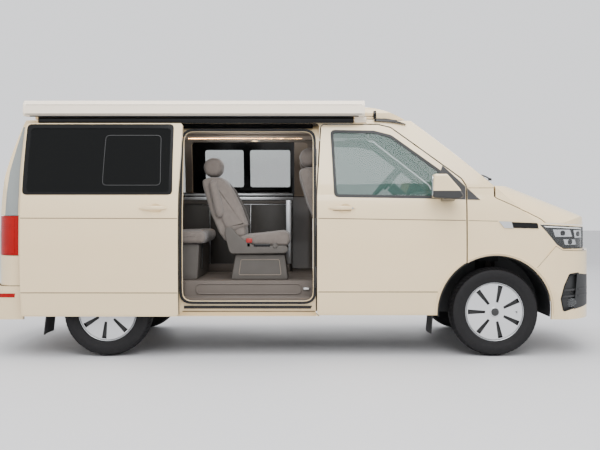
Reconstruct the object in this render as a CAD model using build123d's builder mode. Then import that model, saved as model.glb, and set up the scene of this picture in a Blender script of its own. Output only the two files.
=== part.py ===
from build123d import *
import os
from math import cos, hypot, radians, sin

# Camper van with a raising roof. Millimetres, X forward, Y to the left, Z up.
# The origin is on the ground, under the middle of the bounding box.

# ---------------------------------------------------------------- overall sizes
WHEELBASE = 3000
FRONT_OVERHANG = 909
REAR_OVERHANG = 995
WIDTH = 1904
HEIGHT = 1990
MIRROR_SPAN = 2297
TRACK = 1628

LENGTH = FRONT_OVERHANG + WHEELBASE + REAR_OVERHANG
NOSE_X = LENGTH / 2
TAIL_X = -LENGTH / 2
FRONT_AXLE_X = NOSE_X - FRONT_OVERHANG
REAR_AXLE_X = TAIL_X + REAR_OVERHANG
HALF_WIDTH = WIDTH / 2
HALF_TRACK = TRACK / 2

# ---------------------------------------------------------------- wheels
TYRE_RADIUS = 343
TYRE_WIDTH = 215
RIM_RADIUS = 203
COVER_RADIUS = 224
HUB_RADIUS = 72
STUB_RADIUS = 30
RUNNING_GAP = 0.05
SLOT_COUNT = 7
AXLE_Z = TYRE_RADIUS

# ---------------------------------------------------------------- body heights
SILL_Z = 310
FLOOR_Z = 567
FLOOR_THICK = 40
STEP_Z = 445
GROOVE_Z = 500
CREASE_Z = 1062
BELT_Z = 1250
GUTTER_Z = 1836
ROOF_FRAME_Z = 1868

# ---------------------------------------------------------------- walls and gaps
WALL = 70
SKIN = 22
GLASS = 5
GLASS_SINK = 3
SEAT_GAP = 0.3
SHUT_GAP = 6
DOOR_GAP = 10
DOOR_FLANGE = 6

# ---------------------------------------------------------------- lengthwise places
DOOR_FRONT_X = FRONT_AXLE_X - 228
DOOR_REAR_X = FRONT_AXLE_X - 1375
SLIDER_FRONT_X = DOOR_REAR_X - SHUT_GAP
SLIDER_REAR_X = REAR_AXLE_X + 419
SLIDE_BACK = 1057
SLIDE_OUT = 84
SLIDER_THICK = 48
ENTRY_FRONT_X = SLIDER_FRONT_X - 19
ENTRY_REAR_X = SLIDER_REAR_X + 155
ENTRY_LOW_Z = 419
ENTRY_TOP_Z = 1755
ARCH_RADIUS = 440

NOSE_SET_BACK = 34
TAIL_SET_BACK = 52
ROOF_SPLIT_Z = 1826
FENDER_TOP_Z = 1301

# ---------------------------------------------------------------- steering
KINGPIN_TILT = 12
KINGPIN_Y = 718


def circle_through(a, b, c):
    """Centre and radius of the circle through three (x, z) points."""
    ax, az = a
    bx, bz = b
    cx, cz = c
    d = 2 * (ax * (bz - cz) + bx * (cz - az) + cx * (az - bz))
    a2, b2, c2 = ax * ax + az * az, bx * bx + bz * bz, cx * cx + cz * cz
    ux = (a2 * (bz - cz) + b2 * (cz - az) + c2 * (az - bz)) / d
    uz = (a2 * (cx - bx) + b2 * (ax - cx) + c2 * (bx - ax)) / d
    return ux, uz, hypot(ax - ux, az - uz)


def height_on(circle, x):
    """Height of the upper side of a circle in (x, z) at x."""
    cx, cz, radius = circle
    return cz + (radius**2 - (x - cx) ** 2) ** 0.5


def depth_on(circle, z):
    """The rearmost x of a circle in (x, z) at height z."""
    cx, cz, radius = circle
    return cx - (radius**2 - (z - cz) ** 2) ** 0.5


def barrel(points, drop, inset):
    """Solid of revolution round an axis along Y whose outside passes through three
    (x, z) points on the centre line and falls by drop at the body's half width."""
    cx, cz, radius = circle_through(*points)
    low = cz - radius + inset
    reach = HALF_WIDTH + 40
    with BuildPart() as part:
        with BuildSketch(Plane.YZ.offset(cx)):
            with BuildLine():
                ThreePointArc((-reach, low + drop), (0, low), (reach, low + drop))
                Polyline((reach, low + drop), (reach, cz), (-reach, cz), (-reach, low + drop))
            make_face()
        revolve(axis=Axis((cx, 0, cz), (0, 1, 0)), revolution_arc=360)
    return part.part


def outline_block(points, radius, grow, y_from, y_to):
    """An outline in (x, z) moved outward by grow and run across the van."""
    with BuildPart() as part:
        with BuildSketch(Plane.XZ.offset(-y_to)):
            with BuildLine():
                if radius:
                    FilletPolyline(*points, radius=radius, close=True)
                else:
                    Polyline(*points, close=True)
            make_face()
            if grow:
                offset(amount=grow, kind=Kind.INTERSECTION)
        extrude(amount=y_to - y_from)
    return part.part


def gate_block(points, radius, grow, x_from, x_to):
    """An outline in (y, z) moved outward by grow and run along the van."""
    with BuildPart() as part:
        with BuildSketch(Plane.YZ.offset(x_from)):
            with BuildLine():
                if radius:
                    FilletPolyline(*points, radius=radius, close=True)
                else:
                    Polyline(*points, close=True)
            make_face()
            if grow:
                offset(amount=grow, kind=Kind.INTERSECTION)
        extrude(amount=x_to - x_from)
    return part.part


def plan_block(points, radius, grow, z_from, z_to):
    """An outline in (x, y) moved outward by grow and run upwards."""
    with BuildPart() as part:
        with BuildSketch(Plane.XY.offset(z_from)):
            with BuildLine():
                if radius:
                    FilletPolyline(*points, radius=radius, close=True)
                else:
                    Polyline(*points, close=True)
            make_face()
            if grow:
                offset(amount=grow, kind=Kind.INTERSECTION)
        extrude(amount=z_to - z_from)
    return part.part


def box_between(x_from, x_to, y_from, y_to, z_from, z_to):
    """Plain block between two corners."""
    points = [(x_from, y_from), (x_to, y_from), (x_to, y_to), (x_from, y_to)]
    return plan_block(points, 0, 0, z_from, z_to)


# ------------------------------------------------ the body's outer surfaces
# Half widths of the cross-section: (height, how far inside the widest line)
SILL_TUCK = 45
GROOVE_TUCK = 14
CREASE_TUCK = 4
BELT_TUCK = 27
GUTTER_TUCK = 152
SCREEN_DROP = 100

# Centre-line points in (x from the front axle, z)
WINDSCREEN_LINE = [(-579, 1868), (-301, 1661), (100, 1338)]
BONNET_RISE = 0.395
BONNET_START_X = 250
BONNET_TOP_Z = 1315
COWL_Z = 1322
COWL_ARC = (60, 392)
TAIL_LINE = [(-668, 1826), (-790, 1400), (-868, 880)]
ROOF_LINE = [(-672, 1838), (900, ROOF_FRAME_Z), (2470, 1828)]


def shifted(points, x):
    """A line given from an axle, moved to the van's own X."""
    return [(x + px, pz) for px, pz in points]


def across_prism(inset, low_z):
    """The cross-section of the sides and the roof crown, run along the van."""
    half = HALF_WIDTH - inset
    top = ROOF_FRAME_Z - inset
    with BuildPart() as part:
        with BuildSketch(Plane.YZ.offset(TAIL_X - 50)):
            with BuildLine():
                sill = half - SILL_TUCK - (SILL_Z - low_z) * 0.24
                floor_line = Line((0, low_z), (sill, low_z))
                tuck = Line(floor_line @ 1, (half - GROOVE_TUCK, GROOVE_Z))
                waist = ThreePointArc(tuck @ 1, (half, 780), (half - CREASE_TUCK, CREASE_Z))
                shoulder = ThreePointArc(waist @ 1, (half - 12, 1165), (half - BELT_TUCK, BELT_Z))
                glass_side = ThreePointArc(
                    shoulder @ 1, (half - 84, 1560), (half - GUTTER_TUCK, GUTTER_Z - 34 - inset)
                )
                corner = ThreePointArc(
                    glass_side @ 1,
                    (half - GUTTER_TUCK - 18, top - 34),
                    (half - GUTTER_TUCK - 56, top - 12),
                )
                Line(corner @ 1, (0, top))
                mirror(about=Plane.YZ)
            make_face()
        extrude(amount=LENGTH + 100)
    return part.part


def plan_prism(inset, nose_reach, tail_reach):
    """The outline seen from above, with rounded nose and tail corners."""
    nose = NOSE_X - nose_reach
    tail = TAIL_X + tail_reach
    half = HALF_WIDTH + 10
    with BuildPart() as part:
        with BuildSketch():
            with BuildLine():
                front = ThreePointArc((nose, 0), (nose - 28, half - 632), (nose - 116, half - 322))
                corner = ThreePointArc(front @ 1, (nose - 195, half - 167), (nose - 345, half - 57))
                cheek = ThreePointArc(corner @ 1, (nose - 450, half - 21), (nose - 620, half))
                flank = Line(cheek @ 1, (tail + 260, half))
                rear_corner = ThreePointArc(flank @ 1, (tail + 155, half - 52), (tail + 88, half - 150))
                ThreePointArc(rear_corner @ 1, (tail + 24, half - 542), (tail, 0))
                mirror(about=Plane.XZ)
            make_face()
            if inset:
                offset(amount=-inset, kind=Kind.INTERSECTION)
        extrude(amount=HEIGHT + 100)
    return part.part


def side_prism(inset, set_back=NOSE_SET_BACK):
    """The body seen from the side: roof line, grille face and bumper face."""
    roof = circle_through(*shifted(ROOF_LINE, REAR_AXLE_X))
    tip = NOSE_X - set_back - inset
    back = TAIL_X - 60
    with BuildPart() as part:
        with BuildSketch(Plane.XZ.offset(-HALF_WIDTH - 60)):
            with BuildLine():
                roof_arc = ThreePointArc(*[(x, height_on(roof, x) - inset) for x in (back, 0, tip - 600)])
                over = Line(roof_arc @ 1, (tip, 1500))
                edge = Line(over @ 1, (tip - 210, 1112 - inset))
                brow = ThreePointArc(edge @ 1, (tip - 96, 1030 - inset), (tip - 38, 940 - inset))
                face = ThreePointArc(brow @ 1, (tip - 6, 780), (tip, 640))
                chin = ThreePointArc(face @ 1, (tip - 22, 440), (tip - 120, -60))
                Polyline(chin @ 1, (back, -60), roof_arc @ 0)
            make_face()
        extrude(amount=2 * HALF_WIDTH + 120)
    return part.part


def tail_prism(inset):
    """The tail seen from the side, leaning forward above the bumper."""
    tail = circle_through(*shifted(TAIL_LINE, REAR_AXLE_X))
    with BuildPart() as part:
        with BuildSketch(Plane.XZ.offset(-HALF_WIDTH - 60)):
            with BuildLine():
                lift = ThreePointArc(*[(depth_on(tail, z) + inset, z) for z in (-60, 900, HEIGHT)])
                Polyline(lift @ 1, (NOSE_X, HEIGHT), (NOSE_X, -60), lift @ 0)
            make_face()
        extrude(amount=2 * HALF_WIDTH + 120)
    return part.part


def bonnet_prism(inset):
    """Bonnet crown and fender shoulders, drawn across the van and run down the slope,
    then levelled out behind by an arc that ends in the flat cowl."""
    back, ahead = 800, 1000
    start = FRONT_AXLE_X + BONNET_START_X - back
    crown_z = BONNET_TOP_Z + BONNET_RISE * back - inset
    half = HALF_WIDTH + 10
    level_x, slope_x = (FRONT_AXLE_X + x for x in COWL_ARC)
    slope_z = BONNET_TOP_Z - BONNET_RISE * (COWL_ARC[1] - BONNET_START_X)
    tip_x = NOSE_X + 60
    with BuildPart() as part:
        with BuildSketch(Plane.YZ.offset(start)):
            with BuildLine():
                crown = ThreePointArc((0, crown_z), (330, crown_z - 11), (HALF_WIDTH - 312 - inset, crown_z - 40))
                shoulder = ThreePointArc(
                    crown @ 1,
                    (HALF_WIDTH - 96 - inset, crown_z - 112),
                    (HALF_WIDTH - 6 - inset, crown_z - 280),
                )
                Polyline(shoulder @ 1, (half, crown_z - 420), (half, -600), (0, -600))
                mirror(about=Plane.YZ)
            make_face()
        extrude(amount=(back + ahead) * hypot(1, BONNET_RISE), dir=(1, 0, -BONNET_RISE))
        with BuildSketch(Plane.XZ.offset(-half - 20)):
            with BuildLine():
                flat = Line((start - 50, COWL_Z - inset), (level_x, COWL_Z - inset))
                arc = TangentArc(flat @ 1, (slope_x, slope_z - inset + 1), tangent=(1, 0))
                run = Line(arc @ 1, (tip_x, slope_z - inset - BONNET_RISE * (tip_x - slope_x) + 12))
                Polyline(run @ 1, (tip_x, -700), (start - 50, -700), flat @ 0)
            make_face()
        extrude(amount=2 * half + 40, mode=Mode.INTERSECT)
    return part.part


def body_volume(inset, low_z=SILL_Z):
    """Closed volume inside the outer skin, moved inward all round by inset."""
    with BuildPart() as above:
        add(box_between(FRONT_AXLE_X - 760, NOSE_X + 40, -HALF_WIDTH - 30, HALF_WIDTH + 30, 900, HEIGHT + 60))
        add(barrel(shifted(WINDSCREEN_LINE, FRONT_AXLE_X), SCREEN_DROP, inset), mode=Mode.SUBTRACT)
        add(bonnet_prism(inset), mode=Mode.SUBTRACT)
    with BuildPart() as whole:
        add(across_prism(inset, low_z))
        add(plan_prism(inset, NOSE_SET_BACK, TAIL_SET_BACK), mode=Mode.INTERSECT)
        add(side_prism(inset), mode=Mode.INTERSECT)
        add(tail_prism(inset), mode=Mode.INTERSECT)
        add(above.part, mode=Mode.SUBTRACT)
    return whole.part


def cut(whole, *tools):
    """The first solid less every tool."""
    with BuildPart() as part:
        add(whole)
        for tool in tools:
            add(tool, mode=Mode.SUBTRACT)
    return part.part


def keep(whole, *tools):
    """What the first solid shares with every tool."""
    with BuildPart() as part:
        add(whole)
        for tool in tools:
            add(tool, mode=Mode.INTERSECT)
    return part.part


def join(*solids):
    """All solids fused."""
    with BuildPart() as part:
        for solid in solids:
            add(solid)
    return part.part


def both_sides(solid):
    """The solid and its mirror image on the other side of the van."""
    with BuildPart() as part:
        add(solid)
        mirror(about=Plane.XZ)
    return part.part


def mirrored(solid):
    """The solid's mirror image on the other side of the van."""
    with BuildPart() as part:
        add(solid)
        mirror(about=Plane.XZ, mode=Mode.REPLACE)
    return part.part


def save(solid, label):
    """Label a finished piece and write it as its own file."""
    solid.label = label
    export_step(solid, f"parts/{label}.step")


os.makedirs("parts", exist_ok=True)
UNDER = -50
OUT = HALF_WIDTH + 200

# ------------------------------------------------ the hollow volumes, once each
outside = body_volume(0)
cabin_inside = body_volume(WALL, UNDER)
nose_inside = body_volume(SKIN, UNDER)
wall_shell = cut(outside, cabin_inside)
skin_shell = cut(outside, nose_inside)
glass_shell = cut(body_volume(GLASS_SINK), body_volume(GLASS_SINK + GLASS, UNDER))


def from_front(points):
    """Outline points given in (x from the front axle, z)."""
    return shifted(points, FRONT_AXLE_X)


# ------------------------------------------------ outlines of doors, lids and windows
DOOR_OUTLINE = from_front([
    (-1375, SILL_Z + 8), (-1375, 1240), (-1340, 1800), (-900, 1800), (-800, 1776),
    (-262, 1372), (-228, 1318), (-228, SILL_Z + 8),
])
DOOR_WINDOW = from_front([
    (-1236, 1240), (-1262, 1752), (-930, 1746), (-800, 1712), (-395, 1412), (-306, 1330), (-290, 1226),
])
SLIDER_OUTLINE = [
    (SLIDER_REAR_X, SILL_Z + 8), (SLIDER_REAR_X, BELT_Z), (SLIDER_REAR_X + 10, 1806),
    (SLIDER_FRONT_X + 20, 1806), (SLIDER_FRONT_X, 1240), (SLIDER_FRONT_X, SILL_Z + 8),
]
SLIDER_WINDOW = [
    (SLIDER_REAR_X + 30, 1256), (SLIDER_REAR_X + 36, 1776),
    (SLIDER_FRONT_X - 56, 1776), (SLIDER_FRONT_X - 60, 1256),
]
ENTRY_OUTLINE = [
    (ENTRY_REAR_X, ENTRY_LOW_Z), (ENTRY_REAR_X, ENTRY_TOP_Z),
    (ENTRY_FRONT_X, ENTRY_TOP_Z), (ENTRY_FRONT_X, ENTRY_LOW_Z),
]
REAR_WINDOW = [
    (REAR_AXLE_X - 660, 1256), (REAR_AXLE_X - 600, 1776),
    (SLIDER_REAR_X - 30, 1776), (SLIDER_REAR_X - 36, 1256),
]
GATE_OUTLINE = [(-770, 556), (-770, 1180), (-690, 1790), (690, 1790), (770, 1180), (770, 556)]
GATE_WINDOW = [(-650, 1262), (-600, 1726), (600, 1726), (650, 1262)]
WINDSCREEN_OUTLINE = [(-800, 1350), (-700, 1800), (700, 1800), (800, 1350)]
BONNET_SIDE = [
    (FRONT_AXLE_X - 90, 1297), (FRONT_AXLE_X + 11, 1226), (FRONT_AXLE_X + 248, 1118),
    (FRONT_AXLE_X + 346, 1068), (FRONT_AXLE_X + 389, 1034), (NOSE_X + 60, 1000),
    (NOSE_X + 60, 1500), (FRONT_AXLE_X - 90, 1500),
]
BONNET_REAR = [
    (FRONT_AXLE_X + 2, -OUT), (FRONT_AXLE_X + 2, -860), (FRONT_AXLE_X + 60, -600),
    (FRONT_AXLE_X + 169, -200), (FRONT_AXLE_X + 169, 200), (FRONT_AXLE_X + 60, 600),
    (FRONT_AXLE_X + 2, 860), (FRONT_AXLE_X + 2, OUT), (NOSE_X + 60, OUT), (NOSE_X + 60, -OUT),
]
LAMP_OUTLINE = from_front([(336, 1022), (800, 994), (940, 994), (940, 826), (530, 830), (475, 864)])
LAMP_Y = 556
BUMPER_OUTLINE = from_front([(315, 688), (464, 856), (520, 824), (760, 812), (960, 812), (960, 200), (300, 200)])


def wheel_hole(x, radius, y_from, y_to):
    """Round space for a wheel, open towards the ground."""
    with BuildPart() as part:
        with BuildSketch(Plane.XZ.offset(-y_to)):
            with Locations((x, AXLE_Z)):
                Circle(radius)
            with Locations((x, AXLE_Z - 300)):
                Rectangle(2 * radius, 600)
        extrude(amount=y_to - y_from)
    return part.part


MEMBER_Y = (450, 505)
FRONT_WELL_Y = MEMBER_Y[1] + 10
REAR_WELL_Y = 560
front_hole = wheel_hole(FRONT_AXLE_X, ARCH_RADIUS, FRONT_WELL_Y, OUT)
rear_hole = wheel_hole(REAR_AXLE_X, ARCH_RADIUS, REAR_WELL_Y, OUT)
door_hole = wheel_hole(FRONT_AXLE_X, ARCH_RADIUS + 6, FRONT_WELL_Y, OUT)

bonnet_space = keep(
    outline_block(BONNET_SIDE, 0, SHUT_GAP, -OUT, OUT),
    plan_block(BONNET_REAR, 0, SHUT_GAP + 8, 800, COWL_Z + 12),
)

BONNET_HINGE = (FRONT_AXLE_X - 65, 1296)
bonnet_slot = box_between(BONNET_HINGE[0] - 16, BONNET_HINGE[0] + 82, 780, 808, 1280, 1372)

# ------------------------------------------------ front doors
HINGE_BACK = 60
HINGE_X = DOOR_FRONT_X - HINGE_BACK
HINGE_Y = HALF_WIDTH - 19
HINGE_Z = 780
HINGE_TILT = 2
PIN_RADIUS = 4
KNUCKLE_RADIUS = 7
HINGE_HEIGHTS = (20, 230)
hinge_plane = Plane(
    origin=(HINGE_X, HINGE_Y, HINGE_Z), x_dir=(1, 0, 0),
    z_dir=(0, -sin(radians(HINGE_TILT)), cos(radians(HINGE_TILT))),
)


def door_hinge_moving():
    """Pins and centre knuckles that belong to the left door."""
    with BuildPart() as part:
        for height in HINGE_HEIGHTS:
            with BuildSketch(hinge_plane.offset(height - 34)):
                Circle(PIN_RADIUS)
            extrude(amount=68)
            with BuildSketch(hinge_plane.offset(height - 12)):
                Circle(KNUCKLE_RADIUS)
                with Locations((-18, -8)):
                    Rectangle(30, 8)
            extrude(amount=24)
    return part.part


def door_hinge_fixed():
    """Outer knuckles and swan-neck leaves that belong to the left door post."""
    neck = [(-4, -3), (-4, -80), (96, -80), (96, -36), (78, -36), (78, -71), (4, -71), (4, -3)]
    with BuildPart() as part:
        for height in HINGE_HEIGHTS:
            for low in (height - 34, height + 12.5):
                with BuildSketch(hinge_plane.offset(low)):
                    Circle(KNUCKLE_RADIUS)
                    with BuildLine():
                        Polyline(*neck, close=True)
                    make_face()
                    Circle(PIN_RADIUS + RUNNING_GAP, mode=Mode.SUBTRACT)
                extrude(amount=21.5)
    return part.part


HANDLE_Z = 1146
DISH_RADIUS = 94
DISH_DEPTH = 11


def handle_dish(x):
    """Ball that hollows the skin behind a pull handle on the left side."""
    with BuildPart() as part:
        with Locations((x, HALF_WIDTH - 10 + DISH_RADIUS - DISH_DEPTH, HANDLE_Z)):
            Sphere(DISH_RADIUS)
    return part.part


flange_inside = body_volume(DOOR_FLANGE, UNDER)
door_flange = keep(cut(outside, flange_inside), outline_block(DOOR_OUTLINE, 24, 0, 400, OUT))
door_body = cut(
    keep(cut(flange_inside, cabin_inside), outline_block(DOOR_OUTLINE, 44, -20, 400, OUT)),
    box_between(HINGE_X - 24, DOOR_FRONT_X + 5, 400, OUT, 0, HEIGHT),
    box_between(HINGE_X - 2000, DOOR_FRONT_X + 5, 400, OUT, 0, SILL_Z + 8),
)
door_left = cut(
    join(door_flange, door_body, door_hinge_moving()),
    outline_block(DOOR_WINDOW, 26, 0, 400, OUT),
    door_hole,
    handle_dish(DOOR_REAR_X + 218),
)
door_glass = keep(glass_shell, outline_block(DOOR_WINDOW, 26, -SEAT_GAP, 400, OUT))
save(door_left, "front_door_left")
save(mirrored(door_left), "front_door_right")
save(door_glass, "door_glass_left")
save(mirrored(door_glass), "door_glass_right")

# ------------------------------------------------ mirrors
MIRROR_X = (FRONT_AXLE_X - 514, FRONT_AXLE_X - 278)
MIRROR_Z = (1212, 1403)
MIRROR_DEPTH = 100
with BuildPart() as mirror_head:
    with BuildSketch(Plane.XZ.offset(-MIRROR_SPAN / 2)):
        with BuildLine():
            FilletPolyline(
                (MIRROR_X[0], MIRROR_Z[0] + 12), (MIRROR_X[0] + 8, MIRROR_Z[1]),
                (MIRROR_X[1] - 128, MIRROR_Z[1]), (MIRROR_X[1] - 34, MIRROR_Z[0] + 84),
                (MIRROR_X[1], MIRROR_Z[0] + 24), (MIRROR_X[1] - 40, MIRROR_Z[0]), radius=18, close=True,
            )
        make_face()
    extrude(amount=MIRROR_DEPTH)
    fillet(mirror_head.faces().sort_by(Axis.Y)[-1].edges(), 17)
with BuildPart() as mirror_arm:
    with BuildSketch(Plane.YZ.offset(MIRROR_X[0] + 90)):
        with BuildLine():
            Polyline((860, 1196), (1010, 1200), (1100, 1216), (1100, 1250), (990, 1240), (860, 1240), close=True)
        make_face()
    extrude(amount=90)
    add(outside, mode=Mode.SUBTRACT)
mirror_left = join(mirror_head.part, mirror_arm.part)
save(mirror_left, "mirror_left")
save(mirrored(mirror_left), "mirror_right")

# ------------------------------------------------ body sides
BODY_SIDE_Y = 560
front_post = keep(
    cut(nose_inside, cabin_inside),
    box_between(DOOR_FRONT_X + DOOR_GAP, DOOR_FRONT_X + DOOR_GAP + 96, 820, OUT, SILL_Z, FENDER_TOP_Z + 8),
)
rear_gate_space = gate_block(GATE_OUTLINE, 40, SHUT_GAP + 2, TAIL_X - 50, REAR_AXLE_X - 500)
side_zone = cut(
    box_between(TAIL_X - 50, FRONT_AXLE_X + 120, BODY_SIDE_Y, OUT, SILL_Z - 5, ROOF_SPLIT_Z),
    box_between(DOOR_FRONT_X + DOOR_GAP, NOSE_X, 0, OUT, 0, FENDER_TOP_Z + 4),
    box_between(FRONT_AXLE_X - 900, FRONT_AXLE_X + 200, 0, 690, 1700, ROOF_SPLIT_Z + 1),
    box_between(FRONT_AXLE_X - 160, FRONT_AXLE_X + 200, 0, 800, 1200, 1352),
    box_between(TAIL_X - 50, REAR_AXLE_X - 500, 0, 700, 1700, ROOF_SPLIT_Z + 1),
    box_between(TAIL_X - 50, REAR_AXLE_X - 500, 0, 778, 0, 600),
    box_between(TAIL_X - 50, REAR_AXLE_X - 650, 0, OUT, 0, 551),
    box_between(TAIL_X - 50, REAR_AXLE_X - 672, 770, OUT, 780, 1090),
    rear_gate_space,
    gate_block(WINDSCREEN_OUTLINE, 60, SEAT_GAP, FRONT_AXLE_X - 900, FRONT_AXLE_X + 400),
    outline_block(DOOR_OUTLINE, 30, DOOR_GAP, BODY_SIDE_Y - 10, OUT),
    rear_hole,
    front_hole,
    bonnet_space,
    bonnet_slot,
)
side_blank = join(keep(wall_shell, side_zone), cut(front_post, front_hole), door_hinge_fixed())
rear_pane = outline_block(REAR_WINDOW, 30, 0, BODY_SIDE_Y - 10, OUT)
middle_pane = outline_block(SLIDER_WINDOW, 30, 0, BODY_SIDE_Y - 10, OUT)
body_left = cut(side_blank, rear_pane, middle_pane)
slider_recess = keep(
    cut(outside, body_volume(SLIDER_THICK + 4, UNDER)),
    outline_block(SLIDER_OUTLINE, 24, SHUT_GAP, BODY_SIDE_Y - 10, OUT),
)
entry_space = outline_block(ENTRY_OUTLINE, 80, 0, BODY_SIDE_Y - 10, OUT)
RAIL_Z = 1180
slide_rail = box_between(
    SLIDER_REAR_X - 1010, SLIDER_REAR_X - 20, HALF_WIDTH - 60, HALF_WIDTH - 2, RAIL_Z - 14, RAIL_Z + 14
)
body_right = mirrored(join(cut(side_blank, rear_pane, slider_recess, entry_space), cut(slide_rail, cabin_inside)))
save(body_left, "body_side_left")
save(body_right, "body_side_right")
left_panes = keep(glass_shell, join(
    outline_block(REAR_WINDOW, 30, -SEAT_GAP, BODY_SIDE_Y - 10, OUT),
    outline_block(SLIDER_WINDOW, 30, -SEAT_GAP, BODY_SIDE_Y - 10, OUT),
))
right_pane = mirrored(keep(glass_shell, outline_block(REAR_WINDOW, 30, -SEAT_GAP, BODY_SIDE_Y - 10, OUT)))
save(join(left_panes, right_pane), "side_windows")

# ------------------------------------------------ sliding door, drawn shut and moved open
slider_shut = cut(
    keep(cut(outside, body_volume(SLIDER_THICK, UNDER)), outline_block(SLIDER_OUTLINE, 24, 0, BODY_SIDE_Y, OUT)),
    middle_pane,
    Pos(0, 8 - SLIDE_OUT, 0) * outside,
    handle_dish(SLIDER_FRONT_X - 169),
)
ARM_X = SLIDER_REAR_X + 40
with BuildPart() as carriage:
    with BuildSketch(Plane.XY.offset(RAIL_Z - 12)):
        with Locations((ARM_X - SLIDE_BACK + 45, HALF_WIDTH - 2 + SEAT_GAP + 17)):
            Rectangle(90, 34)
    extrude(amount=24)
slider_open = Pos(-SLIDE_BACK, SLIDE_OUT, 0) * slider_shut
slider_pane = Pos(-SLIDE_BACK, SLIDE_OUT, 0) * keep(
    glass_shell, outline_block(SLIDER_WINDOW, 30, -SEAT_GAP, BODY_SIDE_Y, OUT)
)
save(mirrored(join(slider_open, carriage.part)), "sliding_door")
save(mirrored(slider_pane), "sliding_door_glass")

# ------------------------------------------------ roof frame, windscreen and cowl
HATCH_X = (REAR_AXLE_X - 490, FRONT_AXLE_X - 980)
HATCH_Y = 590
roof_zone = join(
    box_between(TAIL_X, NOSE_X, -OUT, OUT, ROOF_SPLIT_Z, HEIGHT),
    box_between(FRONT_AXLE_X - 900, FRONT_AXLE_X + 200, -690 + SEAT_GAP, 690 - SEAT_GAP, 1700, HEIGHT),
    box_between(TAIL_X, REAR_AXLE_X - 500, -700 + SEAT_GAP, 700 - SEAT_GAP, 1700, HEIGHT),
)
windscreen_space = gate_block(WINDSCREEN_OUTLINE, 60, SEAT_GAP, FRONT_AXLE_X - 900, FRONT_AXLE_X + 400)
door_space = outline_block(DOOR_OUTLINE, 30, DOOR_GAP, -OUT, OUT)
roof_frame = cut(
    keep(wall_shell, roof_zone),
    rear_gate_space,
    windscreen_space,
    door_space,
    box_between(HATCH_X[0], HATCH_X[1], -HATCH_Y, HATCH_Y, 1700, HEIGHT),
)
windscreen = keep(
    glass_shell, gate_block(WINDSCREEN_OUTLINE, 60, 0, FRONT_AXLE_X - 760, FRONT_AXLE_X + 200)
)
save(windscreen, "windscreen")

bonnet_side = outline_block(BONNET_SIDE, 0, 0, -OUT, OUT)
bonnet_rear = plan_block(BONNET_REAR, 0, 0, 900, 1500)
BULKHEAD_X = FRONT_AXLE_X - 150
cowl_zone = cut(
    box_between(FRONT_AXLE_X - 200, FRONT_AXLE_X + 300, -OUT, OUT, FENDER_TOP_Z + 3, 1500),
    bonnet_space,
    windscreen_space,
    door_space,
)
cowl_zone = keep(cowl_zone, join(
    box_between(FRONT_AXLE_X - 160, FRONT_AXLE_X + 300, -800 + SEAT_GAP, 800 - SEAT_GAP, 1200, 1351.7),
    box_between(FRONT_AXLE_X + 121, FRONT_AXLE_X + 300, -OUT, OUT, 1200, 1500),
))
inside_low = body_volume(WALL + 1, UNDER)
bulkhead = cut(
    keep(
        inside_low,
        box_between(BULKHEAD_X, BULKHEAD_X + 30, -HALF_WIDTH, HALF_WIDTH, FLOOR_Z - FLOOR_THICK, 1330),
    ),
    front_hole,
    mirrored(front_hole),
)
shelf = cut(box_between(BULKHEAD_X, FRONT_AXLE_X + 100, -776, 776, 1304, 1316), bonnet_space)
with BuildPart() as bonnet_brackets:
    for y in (800, -812):
        with BuildSketch(Plane.XZ.offset(-y - 12)):
            with BuildLine():
                Polyline(
                    (BULKHEAD_X + 27, 1303), (BULKHEAD_X + 27, 1250), (BONNET_HINGE[0] + 10, 1284),
                    (BONNET_HINGE[0] + 10, 1303), close=True,
                )
            make_face()
            with Locations(BONNET_HINGE):
                Circle(PIN_RADIUS + RUNNING_GAP, mode=Mode.SUBTRACT)
        extrude(amount=12)
cowl_strip = cut(keep(wall_shell, cowl_zone), bonnet_slot, mirrored(bonnet_slot))
save(join(cowl_strip, shelf, bulkhead, bonnet_brackets.part), "cowl_panel")

# ------------------------------------------------ nose panels
lamp_block = outline_block(LAMP_OUTLINE, 0, 0, LAMP_Y, OUT)
lamp_space = outline_block(LAMP_OUTLINE, 0, SEAT_GAP, LAMP_Y - 3, OUT)
bumper_space = outline_block(BUMPER_OUTLINE, 0, SEAT_GAP, -OUT, OUT)
bonnet = keep(skin_shell, bonnet_side, bonnet_rear, box_between(0, NOSE_X, -OUT, OUT, 800, COWL_Z + 4))
fender = cut(
    keep(skin_shell, box_between(DOOR_FRONT_X + DOOR_GAP, NOSE_X, LAMP_Y, OUT, SILL_Z, FENDER_TOP_Z)),
    bonnet_space, lamp_space, bumper_space, front_hole,
)
headlight = keep(wall_shell, lamp_block)
GRILLE_Y = LAMP_Y - SEAT_GAP
grille_zone = box_between(FRONT_AXLE_X + 560, NOSE_X, -GRILLE_Y, GRILLE_Y, 816, 993)
grille = keep(wall_shell, grille_zone)
with BuildPart() as grille_slots:
    for z in (846, 880, 914, 948):
        with BuildSketch(Plane.XY.offset(z)):
            with Locations((NOSE_X - 60, -265), (NOSE_X - 60, 265)):
                Rectangle(600, 480)
        extrude(amount=20)
with BuildPart() as bonnet_arms:
    for y in (788, -798):
        with BuildSketch(Plane.XZ.offset(-y - 10)):
            with Locations(BONNET_HINGE):
                Circle(8)
            with BuildLine():
                Polyline(
                    (BONNET_HINGE[0] - 6, 1291), (BONNET_HINGE[0] + 40, 1276), (BONNET_HINGE[0] + 108, 1288),
                    (BONNET_HINGE[0] + 108, 1304), (BONNET_HINGE[0] + 74, 1304), (BONNET_HINGE[0] + 40, 1292),
                    (BONNET_HINGE[0], 1303), close=True,
                )
            make_face()
        extrude(amount=10)
    for y in (788, -814):
        with BuildSketch(Plane.XZ.offset(-y - 26)):
            with Locations(BONNET_HINGE):
                Circle(PIN_RADIUS)
        extrude(amount=26)
save(join(bonnet, bonnet_arms.part), "bonnet")
save(both_sides(fender), "front_fenders")
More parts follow.
